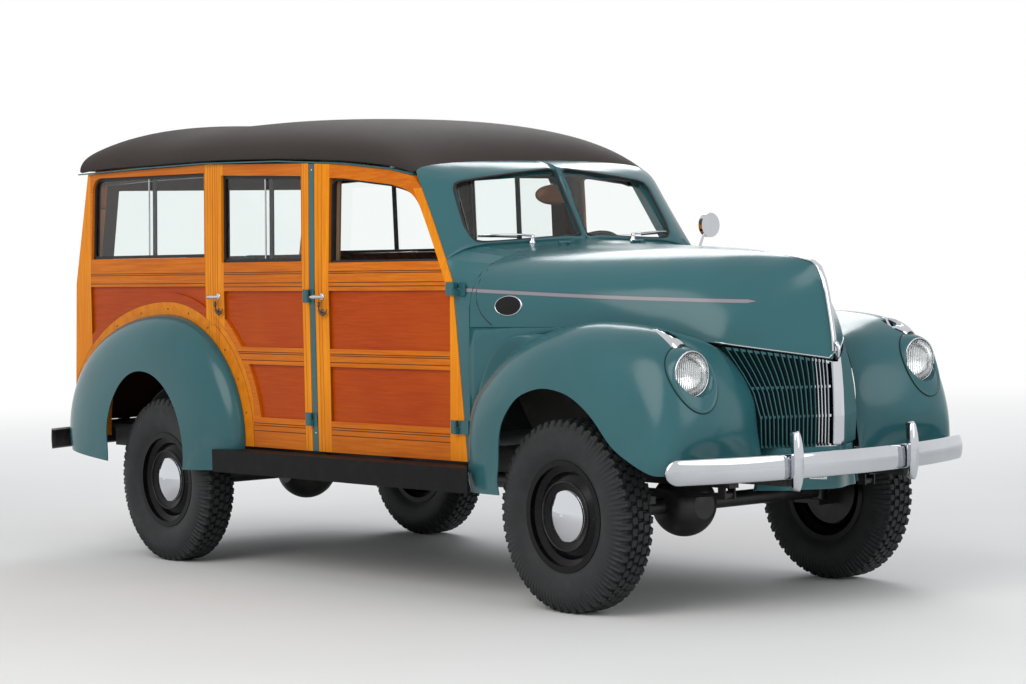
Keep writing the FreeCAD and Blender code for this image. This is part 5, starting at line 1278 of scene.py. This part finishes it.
def make_stage():
    """A pale floor that fades into a white backdrop, and the soft light of the sky."""
    floor = bpy.data.meshes.new("floor_sheet")
    reach = 60.0
    floor.from_pydata([(x * reach, y * reach, 0) for x, y in ((-1, -1), (1, -1), (1, 1), (-1, 1))], [],
                      [(0, 1, 2, 3)])
    made = place("floor_sheet", floor)
    g = Graph("pale_floor")
    tone = g.mix(g.noise(0.8, 4.0), (0.80, 0.80, 0.79), (0.74, 0.74, 0.73))
    g.bump(g.noise(40.0, 4.0), 0.10, 0.002)
    g.finish(color=tone, rough=0.75)
    far = g.math("SQRT", g.add(g.mul(g.x, g.x), g.mul(g.y, g.y)))
    fade = g.ramp(far, 4.5, 15.0)
    seen = clear_view(g.tree)
    glow = g.node("Emission", {"Color": (1, 1, 1)})[0]
    blend = g.tree.nodes.new("ShaderNodeMixShader")
    for socket, source in zip(blend.inputs, (g.mul(fade, seen), g.shader.outputs[0], glow)):
        g.put(socket, source)
    g.tree.links.new(blend.outputs[0], g.out.inputs[0])
    floor.materials.append(g.material)
    world = bpy.data.worlds.new("studio")
    bpy.context.scene.world = world
    world.use_nodes = True
    tree = world.node_tree
    tree.nodes.clear()
    out = tree.nodes.new("ShaderNodeOutputWorld")
    skies = []
    for color, strength in (((0.93, 0.96, 1.0, 1), 0.55), ((1, 1, 1, 1), 1.0)):
        sky = tree.nodes.new("ShaderNodeBackground")
        sky.inputs["Color"].default_value, sky.inputs["Strength"].default_value = color, strength
        skies.append(sky.outputs[0])
    seen = clear_view(tree)
    mixed = tree.nodes.new("ShaderNodeMixShader")
    for socket, source in zip(mixed.inputs, (seen, *skies)):
        tree.links.new(source, socket)
    tree.links.new(mixed.outputs[0], out.inputs[0])


def area_light(name, spot, target, size, power, color=(1, 1, 1)):
    light = bpy.data.lights.new(name, "AREA")
    light.shape, light.size, light.energy, light.color = "DISK", size, power, color
    made = place(name, light)
    made.location = spot
    made.rotation_mode = "QUATERNION"
    made.rotation_quaternion = (Vector(target) - Vector(spot)).to_track_quat("-Z", "Y")


def make_camera():
    yaw, pitch, roll = 0.880375, 0.0353125, -0.0229863
    back = Vector((math.sin(yaw) * math.cos(pitch), -math.cos(yaw) * math.cos(pitch), math.sin(pitch)))
    level = (-back).cross(Vector((0, 0, 1))).normalized()
    upright = level.cross(-back)
    right = level * math.cos(roll) + upright * math.sin(roll)
    up = -level * math.sin(roll) + upright * math.cos(roll)
    data = bpy.data.cameras.new("camera")
    data.lens, data.sensor_width, data.sensor_fit = 97.13, 36.0, "HORIZONTAL"
    made = place("camera", data)
    made.matrix_world = Matrix((right, up, back)).transposed().to_4x4()
    made.location = (9.782, -7.789, 1.446)
    bpy.context.scene.camera = made


make_stage()
area_light("key", (3.5, -9.0, 7.5), (0.3, 0, 0.9), 8.5, 620, (1.0, 0.98, 0.95))
area_light("front", (10.0, 1.5, 5.0), (1.0, 0, 0.9), 7.5, 260)
area_light("back", (-7.0, 7.0, 7.0), (-0.5, 0, 1.2), 6.0, 360, (0.95, 0.98, 1.0))
make_camera()
bpy.context.scene.view_settings.view_transform = "Standard"
